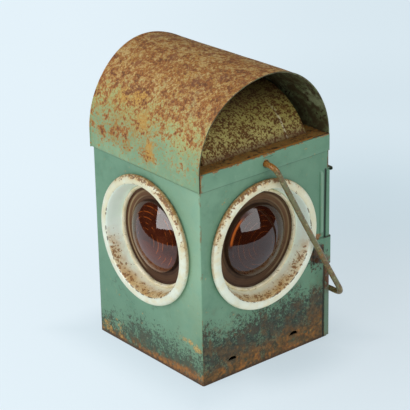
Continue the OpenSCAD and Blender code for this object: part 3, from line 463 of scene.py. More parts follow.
# pressed amber glass, dusty on the ridges round the dome
def amberGlass():
    f = Finish("amberGlass")
    radius, up, near = (f.attribute(k) for k in ringMarks)
    mid, fine = f.grain(9, 3, 0.55, 71), f.grain(2, 2, 0.5, 72)
    flat = f.step(radius, 33.1, 33.5)
    front = f.step(f.y, -50, -60)
    f.colour = f.fade(mid, 0.35, 0.65, "64301d", "4e2215")
    # painted shade and light: the side lenses are painted darker, and the front lens lighter red towards the bottom
    f.coat((1 - front) * 0.6, "2c1007")
    f.coat(front * f.step(up + (mid - 0.5) * 0.4, -0.05, -0.5) * 0.5, "8c3a1a")
    ring = abs(f.sum("FRACT", radius / 4.6 + (mid - 0.5) * 0.3) - 0.5)  # painted glow: light through the back steps is painted as thin arcs
    paintedGlowArcs = f.step(ring, 0.09, 0.03) * (1 - flat) * f.step(f.grain(9, 2, 0.5, 73), 0.45, 0.58) * f.step(radius, 5, 10)
    f.coat(paintedGlowArcs * (0.3 + front * 0.6), "c8682c")
    # painted glow: an orange arc of light through the glass, painted near the dome's edge
    paintedGlowStreak = (f.step(f.x, 40, 50) * (1 - flat) * f.step(near, 0.3, 0.5) * f.step(up, 0.08, 0.22) * f.step(up, 0.9, 0.72)
              * f.line(radius, 31.3, 1.2, 0.4))
    f.coat(paintedGlowStreak * 0.8, "c9641f")
    f.coat(flat * 0.95, f.fade(mid, 0.35, 0.65, "4a3322", "59432d"))
    f.coat(front * flat * 0.45, "5a3020")
    line = abs(f.sum("FRACT", radius / 2.3 + (mid - 0.5) * 0.2) - 0.5)
    f.coat(flat * f.step(line, 0.2, 0.05) * 0.35, "80623f")
    band = f.step(abs(radius - 40.4 + (mid - 0.5) * 2), 3.6, 1.4)
    f.coat(flat * band * f.step(fine * 0.3 + mid * 0.7, 0.22, 0.48) * 0.45, "7d583c")
    # painted shade: the flat ring is darker towards the bottom
    f.coat(flat * f.step(up + (mid - 0.5) * 0.6, 0.1, -0.8) * 0.5, "2c190e")
    glint = f.line(radius, 42.2, 1.3, 0.4) + f.line(radius, 37.6, 0.9, 0.3) * 0.7
    f.coat(flat * f.step(near + (mid - 0.5) * 0.5, -0.2, -0.8) * glint * (0.3 + front * 0.3), "b8a47c")
    # painted shade: a near-black line in the groove at the dome's foot
    grooveShade = f.line(radius, 33.8, 0.8, 0.3)
    f.coat(grooveShade * 0.7, "200b06")
    shaded = (1 - front) * f.step(radius, 29.5, 31) * f.step(near, 0.15, 0.45) * f.step(up, -0.05, 0.15)
    rough = f.ease(flat * 0.42 + f.step(fine, 0.5, 0.7) * 0.06 + f.step(mid, 0.5, 0.7) * 0.04, 0, 1, 0.02, 0.95)
    return f.close(rough, mid * 0.3 + fine * 0.03, 0.15, dusty=f.both(flat * 0.85, shaded * 0.8),
                   **{"Transmission Weight": 0.5, "IOR": 1.58})


# tinned steel of the lamp
def dullTin():
    f = Finish("dullTin")
    broad, mid, fine = f.grains(0.58, 81, (18, 3), (5, 4), (1.6, 3))
    f.colour = f.blend(f.cells(6, 84) * 0.5, "8d8a80", "a7a59b")
    rust = f.step(broad * 0.5 + mid * 0.5, 0.55, 0.64)
    f.coat(rust * 0.85, f.fade(fine, 0.4, 0.6, "5b3c22", "8a5c30"))
    rough = f.ease(rust + (fine - 0.5) * 0.4, 0, 1, 0.36, 0.8)
    return f.close(rough, fine * 0.3 + rust * 0.4, 0.2, metal=(1 - rust) * 0.85)


# brass gone brown
def oldBrass():
    f = Finish("oldBrass")
    mid, fine, tiny = f.grains(0.58, 91, (6, 4), (1.8, 3), (0.7, 2))
    f.colour = f.fade(mid, 0.38, 0.62, "b08a4a", "8c6a36")
    dark = f.step(fine * 0.5 + mid * 0.5, 0.52, 0.66)
    f.coat(dark * 0.75, "4d3a20")
    f.coat(f.step(tiny, 0.66, 0.74) * 0.5, "5d7a66")
    return f.close(f.ease(dark + (fine - 0.5) * 0.4, 0, 1, 0.3, 0.65), fine * 0.4 + mid * 0.3, 0.12, metal=0.9)


# worn wire of the bail
def wornWire():
    f = Finish("wornWire")
    broad, mid, fine, tiny = f.grains(0.58, 101, (22, 3), (6, 4), (2, 3), (0.8, 2))
    f.colour = f.fade(broad, 0.4, 0.6, "6a6b49", "6c6238")
    worn = f.step(mid * 0.6 + broad * 0.4, 0.5, 0.6)
    f.coat(worn * 0.8, f.fade(fine, 0.4, 0.62, "655a3c", "7a6036"))
    rust = f.step(fine * 0.5 + mid * 0.5, 0.5, 0.58)
    f.coat(rust * 0.8, f.fade(tiny, 0.4, 0.6, "463420", "7a5630"))
    f.coat(f.step(f.grain(3.4, 3, 0.6, 105), 0.56, 0.64) * 0.6, "a39a70")
    f.coat(f.step(f.grain(6, 3, 0.6, 106), 0.58, 0.64) * 0.75, f.fade(tiny, 0.4, 0.6, "6f4a22", "9a6c32"))
    root = f.blob((0, -1, 194.6), (140, 13, 13), 0.6) + (fine - 0.5) * 0.8
    f.coat(f.step(root, 0.3, 0.7) * 0.85, f.fade(tiny, 0.4, 0.6, "8a5524", "bd7f33"))
    return f.close(f.ease(worn + (fine - 0.5) * 0.5, 0, 1, 0.25, 0.5), fine * 0.4 + mid * 0.4, 0.25)


# woven cotton of the wick, charred at the top
def wovenCotton():
    f = Finish("wovenCotton")
    mid, fine = f.grain(5, 3, 0.55, 111), f.grain(0.7, 2, 0.5, 112)
    warp = f.sum("SINE", f.y * 4.2)
    weft = f.sum("SINE", f.z * 3.4 + f.step(warp, -0.3, 0.3) * 3.14)
    f.colour = f.fade(mid, 0.35, 0.65, "d5c9a8", "bfae84")
    f.coat(f.step(weft, 0.0, -0.9) * 0.35, "8f7c54")
    f.coat(f.step(f.z + (mid - 0.5) * 3, 101.5, 104.2), "1c1814")
    return f.close(0.95, weft * 0.5 + warp * 0.2 + fine * 0.3, 0.3, **{"Sheen Weight": 0.3})


finishes = dict(sage=sagePaint(), roof=roofPaint(), arch=archPaint(), rust=rustedSheet(), enamel=whiteEnamel(),
                putty=creamPutty(), glass=amberGlass(), tin=dullTin(), brass=oldBrass(), wire=wornWire(),
                cotton=wovenCotton())
print("finishes:", len(finishes))


# mesh kit
def smooth(mesh, sharp):
    mesh.shade_smooth()
    mesh.set_sharp_from_angle(angle=math.radians(sharp))


def meshPiece(name, bm, finish, sharp=35.0):
    bmesh.ops.recalc_face_normals(bm, faces=bm.faces)
    mesh = bpy.data.meshes.new(name)
    bm.to_mesh(mesh)
    bm.free()
    smooth(mesh, sharp)
    mesh.materials.append(finish)
    piece = bpy.data.objects.new(name, mesh)
    scene.collection.objects.link(piece)
    return piece


def settle(piece, sharp=35.0):  # what the modifiers give becomes the piece's own mesh
    bpy.context.view_layer.update()
    mesh = bpy.data.meshes.new_from_object(piece.evaluated_get(bpy.context.evaluated_depsgraph_get()))
    old = piece.data
    piece.modifiers.clear()
    piece.data = mesh
    mesh.name = piece.name
    bpy.data.meshes.remove(old)
    smooth(mesh, sharp)
    return piece


def cutOut(piece, cutters):
    for cutter in cutters:
        modifier = piece.modifiers.new("cut", "BOOLEAN")
        modifier.operation, modifier.solver, modifier.object = "DIFFERENCE", "EXACT", cutter
    settle(piece)
    for cutter in cutters:
        bpy.data.objects.remove(cutter)


def soften(piece, width):  # small rounded edges
    modifier = piece.modifiers.new("soften", "BEVEL")
    modifier.width, modifier.segments, modifier.limit_method = width * mm, 2, "ANGLE"
    modifier.angle_limit = math.radians(40.0)
    return settle(piece)


def dress(piece, body, slot, *nodes):
    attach(piece, body)
    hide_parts(*nodes)


def wrapRings(bm, rings):  # walls from one closed ring to the next
    for a, b in zip(rings, rings[1:]):
        for k in range(len(a)):
            n = (k + 1) % len(a)
            bm.faces.new((a[k], a[n], b[n], b[k]))


def solid(name, rows, finish):  # closed rows of points, in metres, with both ends shut
    bm = bmesh.new()
    rings = [[bm.verts.new(p) for p in row] for row in rows]
    wrapRings(bm, rings)
    bm.faces.new(rings[0])
    bm.faces.new(rings[-1])
    return meshPiece(name, bm, finish)


def prism(name, outline, low, high, place):  # cutter of a flat outline
    rows = [[place @ (Vector((u, v, w)) * mm) for u, v in outline] for w in (low, high)]
    return solid(name, rows, finishes["rust"])


def sideways(x):  # outlines on the sides: their plane is Y and Z, their depth runs outwards
    return Matrix(((0, 0, x), (1, 0, 0), (0, 1, 0))).to_4x4()


def circle(radius, count, u=0.0, v=0.0):
    turns = [math.tau * k / count for k in range(count)]
    return [(u + radius * math.cos(a), v + radius * math.sin(a)) for a in turns]


def within(depth, reach):  # 0 outside an edge, 1 from reach inwards
    return min(1.0, max(0.0, depth / reach))


def rounded(path, bend, turns=4):  # corners become short curves
    points = [Vector(path[0])]
    for a, b, c in zip(path, path[1:], path[2:]):
        a, b, c = Vector(a), Vector(b), Vector(c)
        run = min(bend, 0.45 * (a - b).length, 0.45 * (c - b).length)
        start, end = b + (a - b).normalized() * run, b + (c - b).normalized() * run
        for t in (k / turns for k in range(turns + 1)):
            points.append(start * (1 - t) ** 2 + b * 2 * t * (1 - t) + end * t * t)
    return points + [Vector(path[-1])]


def parted(points, stride):  # long straights get points of their own
    out = [points[0]]
    for a, b in zip(points, points[1:]):
        count = max(1, round((b - a).length / stride))
        out += [a.lerp(b, k / count) for k in range(1, count + 1)]
    return out


def foldedSheet(name, sheet, path, stride, bend=1.2, along="Z", shape=None):  # sheet bent along a path, in millimetres
    thick, low, high = sheet["thick"], sheet["low"], sheet["high"]
    points = parted(rounded(path, bend), stride)
    n = len(points)
    runs = [points[min(k + 1, n - 1)] - points[max(k - 1, 0)] for k in range(n)]
    sides = [Vector((-r.y, r.x)).normalized() for r in runs]
    count = max(1, round((high - low) / stride))
    bm = bmesh.new()
    rows = []
    for level in range(count + 1):
        w = low + (high - low) * level / count
        row = []
        for face in (0.5, -0.5):
            for p, s in zip(points, sides):
                u, v = p + s * thick * face
                spot = Vector((u, v, w) if along == "Z" else (w, u, v))
                row.append(bm.verts.new((shape(spot) if shape else spot) * mm))
        rows.append(row)
    loop = [*range(n), *range(2 * n - 1, n - 1, -1)]
    wrapRings(bm, [[row[k] for k in loop] for row in rows])
    for row in (rows[0], rows[-1]):
        for k in range(n - 1):
            bm.faces.new((row[k], row[k + 1], row[n + k + 1], row[n + k]))
    return meshPiece(name, bm, finishes["sage"])


def facing(side):  # lens units: local Y up, local Z out of the wall
    turn, spot = {"front": (((1, 0, 0), (0, 0, -1), (0, 1, 0)), (0, -75.5, 119)),
                  "right": (((0, 0, 1), (1, 0, 0), (0, 1, 0)), (76, -4.3, 119)),
                  "left": (((0, 0, -1), (-1, 0, 0), (0, 1, 0)), (-76, -4.3, 119))}[side]
    return Matrix.Translation(Vector(spot) * mm) @ Matrix(turn).to_4x4()


def spun(name, profile, place, finish, steps=128, near=1.0, closed=True, sharp=35.0, wobble=None):  # turned on its axis
    bm = bmesh.new()
    marks = [bm.verts.layers.float.new(k) for k in ringMarks]
    rings = []
    for r, h in profile:
        ring = []
        for k in range(steps if r > 1e-6 else 1):
            a = math.tau * k / steps
            dr, dh = wobble(r, h, a) if wobble else (0, 0)
            vert = bm.verts.new(place @ (Vector(((r + dr) * math.cos(a), (r + dr) * math.sin(a), h + dh)) * mm))
            for mark, value in zip(marks, (r, math.sin(a), math.cos(a) * near)):
                vert[mark] = value
            ring.append(vert)
        rings.append(ring)
    for a, b in zip(rings, rings[1:] + ([rings[0]] if closed else [])):
        for k in range(steps):
            corners = [a[k % len(a)], a[(k + 1) % len(a)], b[(k + 1) % len(b)], b[k % len(b)]]
            corners = [c for n, c in enumerate(corners) if c not in corners[:n]]
            if len(corners) > 2:
                bm.faces.new(corners)
    return meshPiece(name, bm, finish, sharp)


# Geometry Nodes kit
def newTree(name, inputs):  # labels by kind of socket
    group = bpy.data.node_groups.new(name, "GeometryNodeTree")
    for kind, labels in inputs.items():
        for label in labels:
            group.interface.new_socket(label, in_out="INPUT", socket_type="NodeSocket" + kind)
    group.interface.new_socket("Geometry", in_out="OUTPUT", socket_type="NodeSocketGeometry")
    bench = Bench(group)
    entry = group.nodes.new("NodeGroupInput")
    return bench, {s.name: Wire(bench, s) for s in entry.outputs if s.name}


def endTree(bench, geometry, material):
    real = bench.node("GeometryNodeRealizeInstances", {}, {"Geometry": geometry})
    covered = bench.node("GeometryNodeSetMaterial", {}, {"Geometry": real, "Material": material})
    bench.node("NodeGroupOutput", {}, {"Geometry": covered})
    return bench.tree


def sweptRing(bench, line, radius, sides):  # round section along a curve
    ring = bench.node("GeometryNodeCurvePrimitiveCircle", {"mode": "RADIUS"}, {"Resolution": sides, "Radius": radius})
    return bench.node("GeometryNodeCurveToMesh", {}, {"Curve": line, "Profile Curve": ring, "Fill Caps": True})


def grow(name, group, values, start=None, sharp=35.0):
    piece = bpy.data.objects.new(name, start or bpy.data.meshes.new(name))
    scene.collection.objects.link(piece)
    modifier = piece.modifiers.new("grow", "NODES")
    modifier.node_group = group
    for item in group.interface.items_tree:
        if item.item_type == "SOCKET" and item.in_out == "INPUT" and item.name in values:
            modifier[item.identifier] = values[item.name]
    settle(piece, sharp)
    bm = bmesh.new()
    bm.from_mesh(piece.data)
    bmesh.ops.remove_doubles(bm, verts=bm.verts, dist=1e-6)
    bmesh.ops.recalc_face_normals(bm, faces=bm.faces)
    bm.to_mesh(piece.data)
    bm.free()
    return piece


# one tree bends both the roof and the arch under it from flat sheet; dents by angle and width
dents = dict(farFrom=0.061, farRun=0.149, openFrom=-0.01, openRun=0.0876, bulge=(-0.36, 0.42), hollow=(0.47, 0.34),
             mouth=(-0.31, 0.35), wave=(0.0, 0.9), waveScale=24.0, waveSeed=0.37)


def bentSheetTree():
    b, k = newTree("bentSheet", {"Float": ("Half Length", "Radius", "Sweep", "Skirt", "Sheet", "Turn", "Bulge", "Hollow",
                                           "Mouth Flat", "Wave", "Hem"),
                                 "Vector": ("Centre",), "Int": ("Columns", "Rows"), "Material": ("Finish",)})

    def axis(n):
        return b.node("ShaderNodeSeparateXYZ", {}, {0: b.node("GeometryNodeInputPosition")}, n)

    def spot(x, y, z):
        return b.node("ShaderNodeCombineXYZ", {}, {0: x, 1: y, 2: z})

    def bump(key):
        mid, wide = dents[key]
        return b.sum("EXPONENT", 0 - (angle - mid) * (angle - mid) / (2 * wide * wide))

    flat = b.node("GeometryNodeMeshGrid", {}, {"Size X": 1.0, "Size Y": 1.0, "Vertices X": k["Columns"],
                                               "Vertices Y": k["Rows"]}, "Mesh")
    along = axis(0) * 2 * k["Half Length"]
    span = k["Sweep"] * k["Radius"]
    run = (axis(1) + 0.5) * (k["Skirt"] + span) - k["Skirt"]
    arc = b.sum("MINIMUM", b.sum("MAXIMUM", run, 0.0), span)
    angle = arc / k["Radius"] - k["Sweep"] * 0.5
    farEnd = b.ease((dents["farFrom"] - along) / dents["farRun"], 0.0, 1.0)
    openEnd = b.ease((along - dents["openFrom"]) / dents["openRun"], 0.0, 1.0)
    ripple = b.node("ShaderNodeTexNoise", {"noise_dimensions": "3D"},
                    {"Vector": spot(along, arc, dents["waveSeed"]), "Scale": dents["waveScale"], "Detail": 1.0})
    reach = k["Radius"] + farEnd * (k["Bulge"] * bump("bulge") - k["Hollow"] * bump("hollow"))
    reach = reach - openEnd * k["Mouth Flat"] * bump("mouth")
    reach = reach + (ripple - 0.5) * k["Wave"] * bump("wave")
    bent = spot(along, reach * b.sum("SINE", angle), reach * b.sum("COSINE", angle) - abs(run - arc))
    skin = b.node("GeometryNodeSetPosition", {}, {"Geometry": flat, "Position": bent})
    inner = b.node("GeometryNodeExtrudeMesh", {"mode": "FACES"},
                   {"Mesh": skin, "Offset Scale": 0 - k["Sheet"], "Individual": False}, "Mesh")
    inner = b.node("GeometryNodeFlipFaces", {}, {"Mesh": inner})
    inner = b.node("GeometryNodeStoreNamedAttribute", {"data_type": "FLOAT", "domain": "FACE"},
                   {"Geometry": inner, "Name": "lining", "Value": 1.0})
    edge = b.node("FunctionNodeCompare", {"data_type": "FLOAT", "operation": "GREATER_THAN"},
                  {0: abs(axis(0)), 1: k["Half Length"] - 1e-5})
    rim = b.node("GeometryNodeMeshToCurve", {}, {"Mesh": skin, "Selection": edge})
    rim = sweptRing(b, rim, k["Hem"], 8)
    inward = spot(b.sum("SIGN", axis(0)) * k["Hem"] * -1.0, 0.0, k["Sheet"] * -0.5)
    rim = b.node("GeometryNodeSetPosition", {}, {"Geometry": rim, "Offset": inward})
    whole = b.node("GeometryNodeJoinGeometry", {}, {"Geometry": [skin, inner, rim]})
    whole = b.node("GeometryNodeTransform", {}, {"Geometry": whole, "Translation": k["Centre"],
                                                 "Rotation": spot(0.0, 0.0, k["Turn"])})
    return endTree(b, whole, k["Finish"])


# lengths of the tree's inputs in millimetres
barrel = {"Half Length": 77.6, "Radius": 75.9, "Skirt": 15.3, "Sheet": 1.0, "Bulge": 3.6, "Hollow": 4.2, "Mouth Flat": 2.6,
          "Wave": 0.9, "Hem": 0.7}
vault = {"Half Length": 60.0, "Radius": 71.22, "Sheet": 0.8, "Wave": 0.8, "Hem": 0.5}
roofPlace = dict(barrel=(0, -1.2, 202.8), vault=(0, 0, 170.48), rearFoot=203.7, vaultHalf=63.0)


def bentSheet(name, tree, sizes, centre, **others):
    values = {label: size * mm for label, size in sizes.items()}
    values["Centre"] = tuple(c * mm for c in centre)
    return grow(name, tree, {**values, **others})


def buildRoof():
    tree = bentSheetTree()
    roof = bentSheet("roofShell", tree, barrel, roofPlace["barrel"], Sweep=math.pi, Columns=64, Rows=150,
                     Finish=finishes["roof"])
    for v in roof.data.vertices:  # the rear foot stops at the deck
        if v.co.y > 0:
            v.co.z = max(v.co.z, roofPlace["rearFoot"] * mm)
    dress(roof, "case", "body_paint", "roof_sheet", "front_collar")
    sweep = 2 * math.asin(roofPlace["vaultHalf"] / vault["Radius"])
    arch = bentSheet("innerArch", tree, vault, roofPlace["vault"], Sweep=sweep, Turn=math.pi / 2, Columns=50, Rows=70,
                     Finish=finishes["arch"])
    dress(arch, "case", "arch_paint", "inner_arch")


buildRoof()
print("roof and arch bent")


# body: one sheet folded round front and sides, with turned-in rear flanges
shell = dict(halfW=76.0, halfD=75.5, sheet=1.0, top=202.7, flange=13.0, doorTop=164.0, fold=1.6, stride=5.0,
             holeRadius=55.5, slotAt=((-41.8, 15.3), (32.3, 15.3)), slotWide=11.0, slotTall=4.4, slotSteps=14)
waves = dict(depth=0.3, broad=42.0, small=17.0, shift=90, top=190, topRun=30, footRun=25, edge=68, rear=52, edgeRun=15)
slotLip = dict(halfWide=5.9, tall=4.4, drop=0.1, start=0.1, sweep=0.8, steps=12,
               section=((-0.3, 1.25), (0.35, 1.15), (0.75, 1.0), (0.55, 0.9), (-0.3, 0.93)))  # out of the wall, size
wallBead = dict(x=75.8, proud=1.8, y=67.3, halfWide=2.5, low=106.2, length=63.6, steps=23, sides=8, ends=14)


midX, midY = (shell[k] - shell["sheet"] / 2 for k in ("halfW", "halfD"))  # middle of the sheet


def wallWave(p):  # shallow unevenness of old sheet, none near the edges
    broad = noise.noise(Vector((p.x, p.y, p.z)) / waves["broad"])
    small = noise.noise(Vector((p.x + waves["shift"], p.y, p.z)) / waves["small"])
    depth = waves["depth"] * (broad + 0.5 * small)
    fade = within(waves["top"] - p.z, waves["topRun"]) * within(p.z, waves["footRun"])
    edge, rear, run = waves["edge"], waves["rear"], waves["edgeRun"]
    if abs(p.y + midY) < 0.01:
        fade *= within(edge - abs(p.x), run)
        return Vector((p.x, p.y + depth * fade, p.z))
    if abs(abs(p.x) - midX) < 0.01:
        fade *= within(p.y + edge, run) * within(rear - p.y, run)
        return Vector((p.x + depth * fade, p.y, p.z))
    return p


def halfMoon(wide, tall, steps):
    radius = (wide * wide / 4 + tall * tall) / (2 * tall)
    reach = math.asin(wide / 2 / radius)
    turns = [reach - 2 * reach * k / steps for k in range(steps + 1)]
    return [(radius * math.sin(a), radius * math.cos(a) - radius + tall) for a in turns]


def lipRows(x, y, z):  # pressed lip over an air slot
    rows = []
    for k in range(slotLip["steps"] + 1):
        a = math.pi * (slotLip["start"] + slotLip["sweep"] * k / slotLip["steps"])
        u, v = slotLip["halfWide"] * math.cos(a), slotLip["tall"] * math.sin(a) - slotLip["drop"]
        rows.append([Vector((x * (shell["halfW"] + o), y + u * s, z + v * s)) * mm for o, s in slotLip["section"]])
    return rows


def beadRows(x):  # raised bead beside the guide
    rows = []
    for k in range(wallBead["steps"] + 1):
        t = k / wallBead["steps"]
        rise = min(1, t * wallBead["ends"], (1 - t) * wallBead["ends"])
        swell = math.sin(math.pi * rise / 2) ** 0.5 if 0 < t < 1 else 0.02
        z = wallBead["low"] + wallBead["length"] * t
        row = []
        for a in (math.pi * n / wallBead["sides"] for n in range(wallBead["sides"] + 1)):
            out = wallBead["x"] + wallBead["proud"] * swell * math.sin(a)
            row.append(Vector((x * out, wallBead["y"] - wallBead["halfWide"] * math.cos(a), z)) * mm)
        rows.append(row)
    return rows


def buildBody():
    w, d, half = midX, midY, shell["sheet"] / 2
    flange = w - shell["flange"] + half
    lower = rounded([(flange, d), (w, d), (w, -d), (-w, -d), (-w, d), (-flange, d)], shell["fold"])
    lower = parted(lower, shell["stride"])
    flat = d - shell["fold"] + 1e-6
    first = next(k for k, p in enumerate(lower) if abs(p.x - w) < 1e-6 and p.y < flat)
    last = max(k for k, p in enumerate(lower) if abs(p.x + w) < 1e-6 and p.y < flat)
    upper = [Vector((w, d + half))] + lower[first:last + 1] + [Vector((-w, d + half))]  # no flanges over the doorway
    bm = bmesh.new()
    for path, low, high in ((lower, 0.0, shell["doorTop"]), (upper, shell["doorTop"], shell["top"])):
        count = round((high - low) / shell["stride"])
        rows = []
        for k in range(count + 1):
            z = low + (high - low) * k / count
            rows.append([bm.verts.new(wallWave(Vector((p.x, p.y, z))) * mm) for p in path])
        for a, b in zip(rows, rows[1:]):
            for k in range(len(path) - 1):
                bm.faces.new((a[k], a[k + 1], b[k + 1], b[k]))
    bmesh.ops.remove_doubles(bm, verts=bm.verts, dist=1e-6)
    body = meshPiece("bodyShell", bm, finishes["sage"])
    wall = body.modifiers.new("wall", "SOLIDIFY")
    wall.thickness, wall.offset, wall.use_even_offset = shell["sheet"] * mm, 0, True
    settle(body)
    hole = circle(shell["holeRadius"], 96)
    cutters = [prism("cut" + side, hole, -6, 6, facing(side)) for side in ("front", "right", "left")]
    for y, z in shell["slotAt"]:
        moon = [(y + u, z + v) for u, v in halfMoon(shell["slotWide"], shell["slotTall"], shell["slotSteps"])]
        cutters.append(prism("slot", moon, -90, 90, sideways(1)))
    cutOut(body, cutters)
    parts = [body]
    for x in (1, -1):
        parts += [solid("slotLip", lipRows(x, y, z), finishes["sage"]) for y, z in shell["slotAt"]]
        parts.append(solid("wallBead", beadRows(x), finishes["sage"]))
    return joined(parts)


def joined(parts):
    bm = bmesh.new()
    for part in parts:
        bm.from_mesh(part.data)
    whole = parts[0]
    bm.to_mesh(whole.data)
    bm.free()
    for part in parts[1:]:
        bpy.data.objects.remove(part)
    return whole


dress(buildBody(), "case", "body_paint", "front_wall", "right_wall", "left_wall")
print("body folded")


# collar strips on the sides, guides, straps, rear strip and door
collar = dict(thick=1.6, low=187.5, high=203.4, x=76.8, endY=75.4, hole=(-1.0, 194.6), holeRadius=3.5,
              slit=((-5.0, 200.1), (7.0, 200.1), (7.0, 201.0), (-5.0, 201.0)), inside=70, slitFloor=77.0, outside=80)
guide = dict(thick=0.7, low=1.0, high=168.4, path=((76.35, 72.0), (76.35, 76.85), (66.7, 76.85)), skew=0.013, skewAt=85,
             skewEnd=76, skewRun=2)
strap = dict(thick=0.8, low=75.0, high=103.0, path=((76.4, 57.2), (76.4, 69.0), (77.2, 70.6), (77.2, 77.7), (71.0, 77.7)))
header = dict(thick=1.0, low=164.1, high=202.7, path=((-74.9, 75.0), (74.9, 75.0)), dip=0.25, dipAt=183, dipHalf=16,
              dipEnd=70)
door = dict(thick=0.7, low=-74.6, high=74.6, panels=((12, 78), (90, 156)), panelHalf=58, slope=5, proud=0.75, lip=77,
            path=((76.0, 1.15), (76.0, 168.9), (81.8, 168.9), (82.2, 166.2), (79.6, 166.2)))


def skewed(p):  # the guide's flange on the wall leans a little
    share = within(guide["skewEnd"] - p.y, guide["skewRun"])
    return p + Vector((0, (p.z - guide["skewAt"]) * guide["skew"] * share, 0))


def dipped(p):  # shallow hollow along the rear strip
    share = max(0, 1 - abs(p.z - header["dipAt"]) / header["dipHalf"]) * (abs(p.x) < header["dipEnd"])
    return p - Vector((0, header["dip"] * share, 0))


def pressed(p):  # two raised panels stiffen the door
    insets = [min(p.z - low, high - p.z, door["panelHalf"] - abs(p.x)) for low, high in door["panels"]]
    return p + Vector((0, door["proud"] * within(max(insets), door["slope"]), 0)) if p.y < door["lip"] else p


def buildTrim():
    for side, x in (("right", 1), ("left", -1)):
        ends = [(x * collar["x"], y) for y in (-collar["endY"], collar["endY"])]
        strip = foldedSheet("collar" + side.title(), collar, ends, stride=4.0)
        hole = circle(collar["holeRadius"], 32, *collar["hole"])
        cutOut(strip, [prism("cutHole", hole, collar["inside"], collar["outside"], sideways(x)),
                       prism("cutSlit", collar["slit"], collar["slitFloor"], collar["outside"], sideways(x))])
        dress(soften(strip, 0.25), "case", "body_paint", "collar_" + side)
        for name, sheet, edge, shape in (("guide", guide, 0.15, skewed), ("strap", strap, 0.2, None)):
            path = [(x * u, v) for u, v in sheet["path"]]
            strip = foldedSheet(name + side.title(), sheet, path, bend=0.8, stride=6.0, shape=shape)
            dress(soften(strip, edge), "case", "body_paint", name + "_" + side)
    strip = foldedSheet("rearHeader", header, header["path"], stride=6.0, shape=dipped)
    dress(soften(strip, 0.2), "case", "body_paint", "rear_header")
    sheet = foldedSheet("rearDoor", door, door["path"], bend=0.9, stride=3.5, along="X", shape=pressed)
    dress(sheet, "door", "body_paint", "rear_door")


buildTrim()
print("trim, guides, straps and door folded")


# rivet heads set on their points
rivet = dict(radius=2.7, foot=-2.1, waist=-0.9, dome=1.35, x=76.8, y=61.2, heights=(82.0, 96.0), turn=1.1)


def headsTree():
    b, k = newTree("setHeads", {"Geometry": ("Points",), "Object": ("Head",), "Float": ("Turn",), "Material": ("Finish",)})
    head = b.node("GeometryNodeObjectInfo", {"transform_space": "ORIGINAL"},
                  {"Object": k["Head"], "As Instance": True}, "Geometry")
    way = b.node("GeometryNodeInputNamedAttribute", {"data_type": "FLOAT_VECTOR"}, {"Name": "outward"})
    turn = b.node("FunctionNodeAlignRotationToVector", {"axis": "Z"}, {"Vector": way})
    spin = b.node("FunctionNodeAxisAngleToRotation", {},
                  {"Axis": (0.0, 0.0, 1.0), "Angle": k["Turn"] * b.node("GeometryNodeInputIndex")})
    turn = b.node("FunctionNodeRotateRotation", {"rotation_space": "LOCAL"}, {"Rotation": turn, "Rotate By": spin})
    heads = b.node("GeometryNodeInstanceOnPoints", {}, {"Points": k["Points"], "Instance": head, "Rotation": turn})
    return endTree(b, heads, k["Finish"])


def pointsMesh(name, spots):
    mesh = bpy.data.meshes.new(name)
    mesh.from_pydata([Vector(p) * mm for p, _ in spots], [], [])
    way = mesh.attributes.new("outward", "FLOAT_VECTOR", "POINT")
    for k, (_, n) in enumerate(spots):
        way.data[k].vector = n
    return mesh


def buildHeads():
    r = rivet["radius"]
    profile = [(0, rivet["foot"]), (r, rivet["foot"]), (r, rivet["waist"])]
    profile += [(r * math.cos(a), rivet["dome"] * math.sin(a)) for a in (0.25, 0.55, 0.9, 1.25)]
    profile += [(0, rivet["dome"])]
    dome = spun("rivetForm", profile, Matrix.Identity(4), finishes["rust"], steps=20, closed=False)
    spots = [((x * rivet["x"], rivet["y"], z), (x, 0, 0)) for x in (1, -1) for z in rivet["heights"]]
    rivets = grow("strapRivets", headsTree(), {"Head": dome, "Turn": rivet["turn"], "Finish": finishes["rust"]},
                  pointsMesh("strapRivets", spots))
    dress(rivets, "case", "rusted_sheet", "strap_rivets")
    bpy.data.objects.remove(dome)
    print("rivets set:", len(spots))


buildHeads()


# lens units: enamelled dish, putty bead and pressed glass, as profiles of radius and height over the wall
bowl = dict(face=((58.0, -0.4), (59.4, 0.2), (60.6, 0.9), (61.3, 1.9), (61.5, 3.0), (61.3, 4.1), (60.7, 5.1), (59.8, 5.9),
                  (58.6, 6.5), (57.2, 6.8), (55.8, 6.85), (54.6, 6.7), (53.7, 6.3), (53.1, 5.7), (52.7, 4.9), (52.3, 3.6),
                  (51.8, 1.6), (51.3, -0.6), (50.8, -2.8), (50.2, -5.0), (49.6, -7.0), (49.1, -8.8), (48.7, -9.7),
                  (48.3, -10.0), (47.4, -10.05), (46.2, -10.1), (46.0, -10.4), (46.1, -11.0)),
            back=((47.5, -11.0), (49.4, -10.8), (50.0, -9.8), (50.6, -7.9), (51.2, -5.8), (51.8, -3.6), (52.3, -1.4),
                  (52.8, 0.8), (53.3, 2.9), (53.7, 4.5), (54.4, 5.3), (55.3, 5.7), (56.6, 5.8), (57.9, 5.6), (59.1, 5.1),
                  (60.0, 4.3), (60.4, 3.4), (60.3, 2.4), (59.7, 1.8), (58.5, 1.2), (57.4, 0.7), (57.1, -0.4)))
bead = ((48.3, -9.9), (48.1, -9.0), (47.4, -8.4), (46.5, -8.45), (45.8, -9.1), (45.5, -10.2), (45.4, -11.2), (45.8, -11.95),
        (47.6, -11.95))
lens = dict(radius=48.3, ball=60.9, cap=33.0, top=2.0, back=-16.0, domeSteps=18, ringDeep=0.9,
            rings=(44.0, 38.0, 32.0, 26.0, 19.0, 12.0),
            flat=((33.3, -8.0), (33.5, -8.5), (33.7, -11.4), (34.1, -12.2), (34.8, -12.4), (36.0, -12.3), (39.0, -12.2),
                  (41.0, -12.15), (43.0, -12.1), (45.6, -12.0), (46.4, -12.5)))


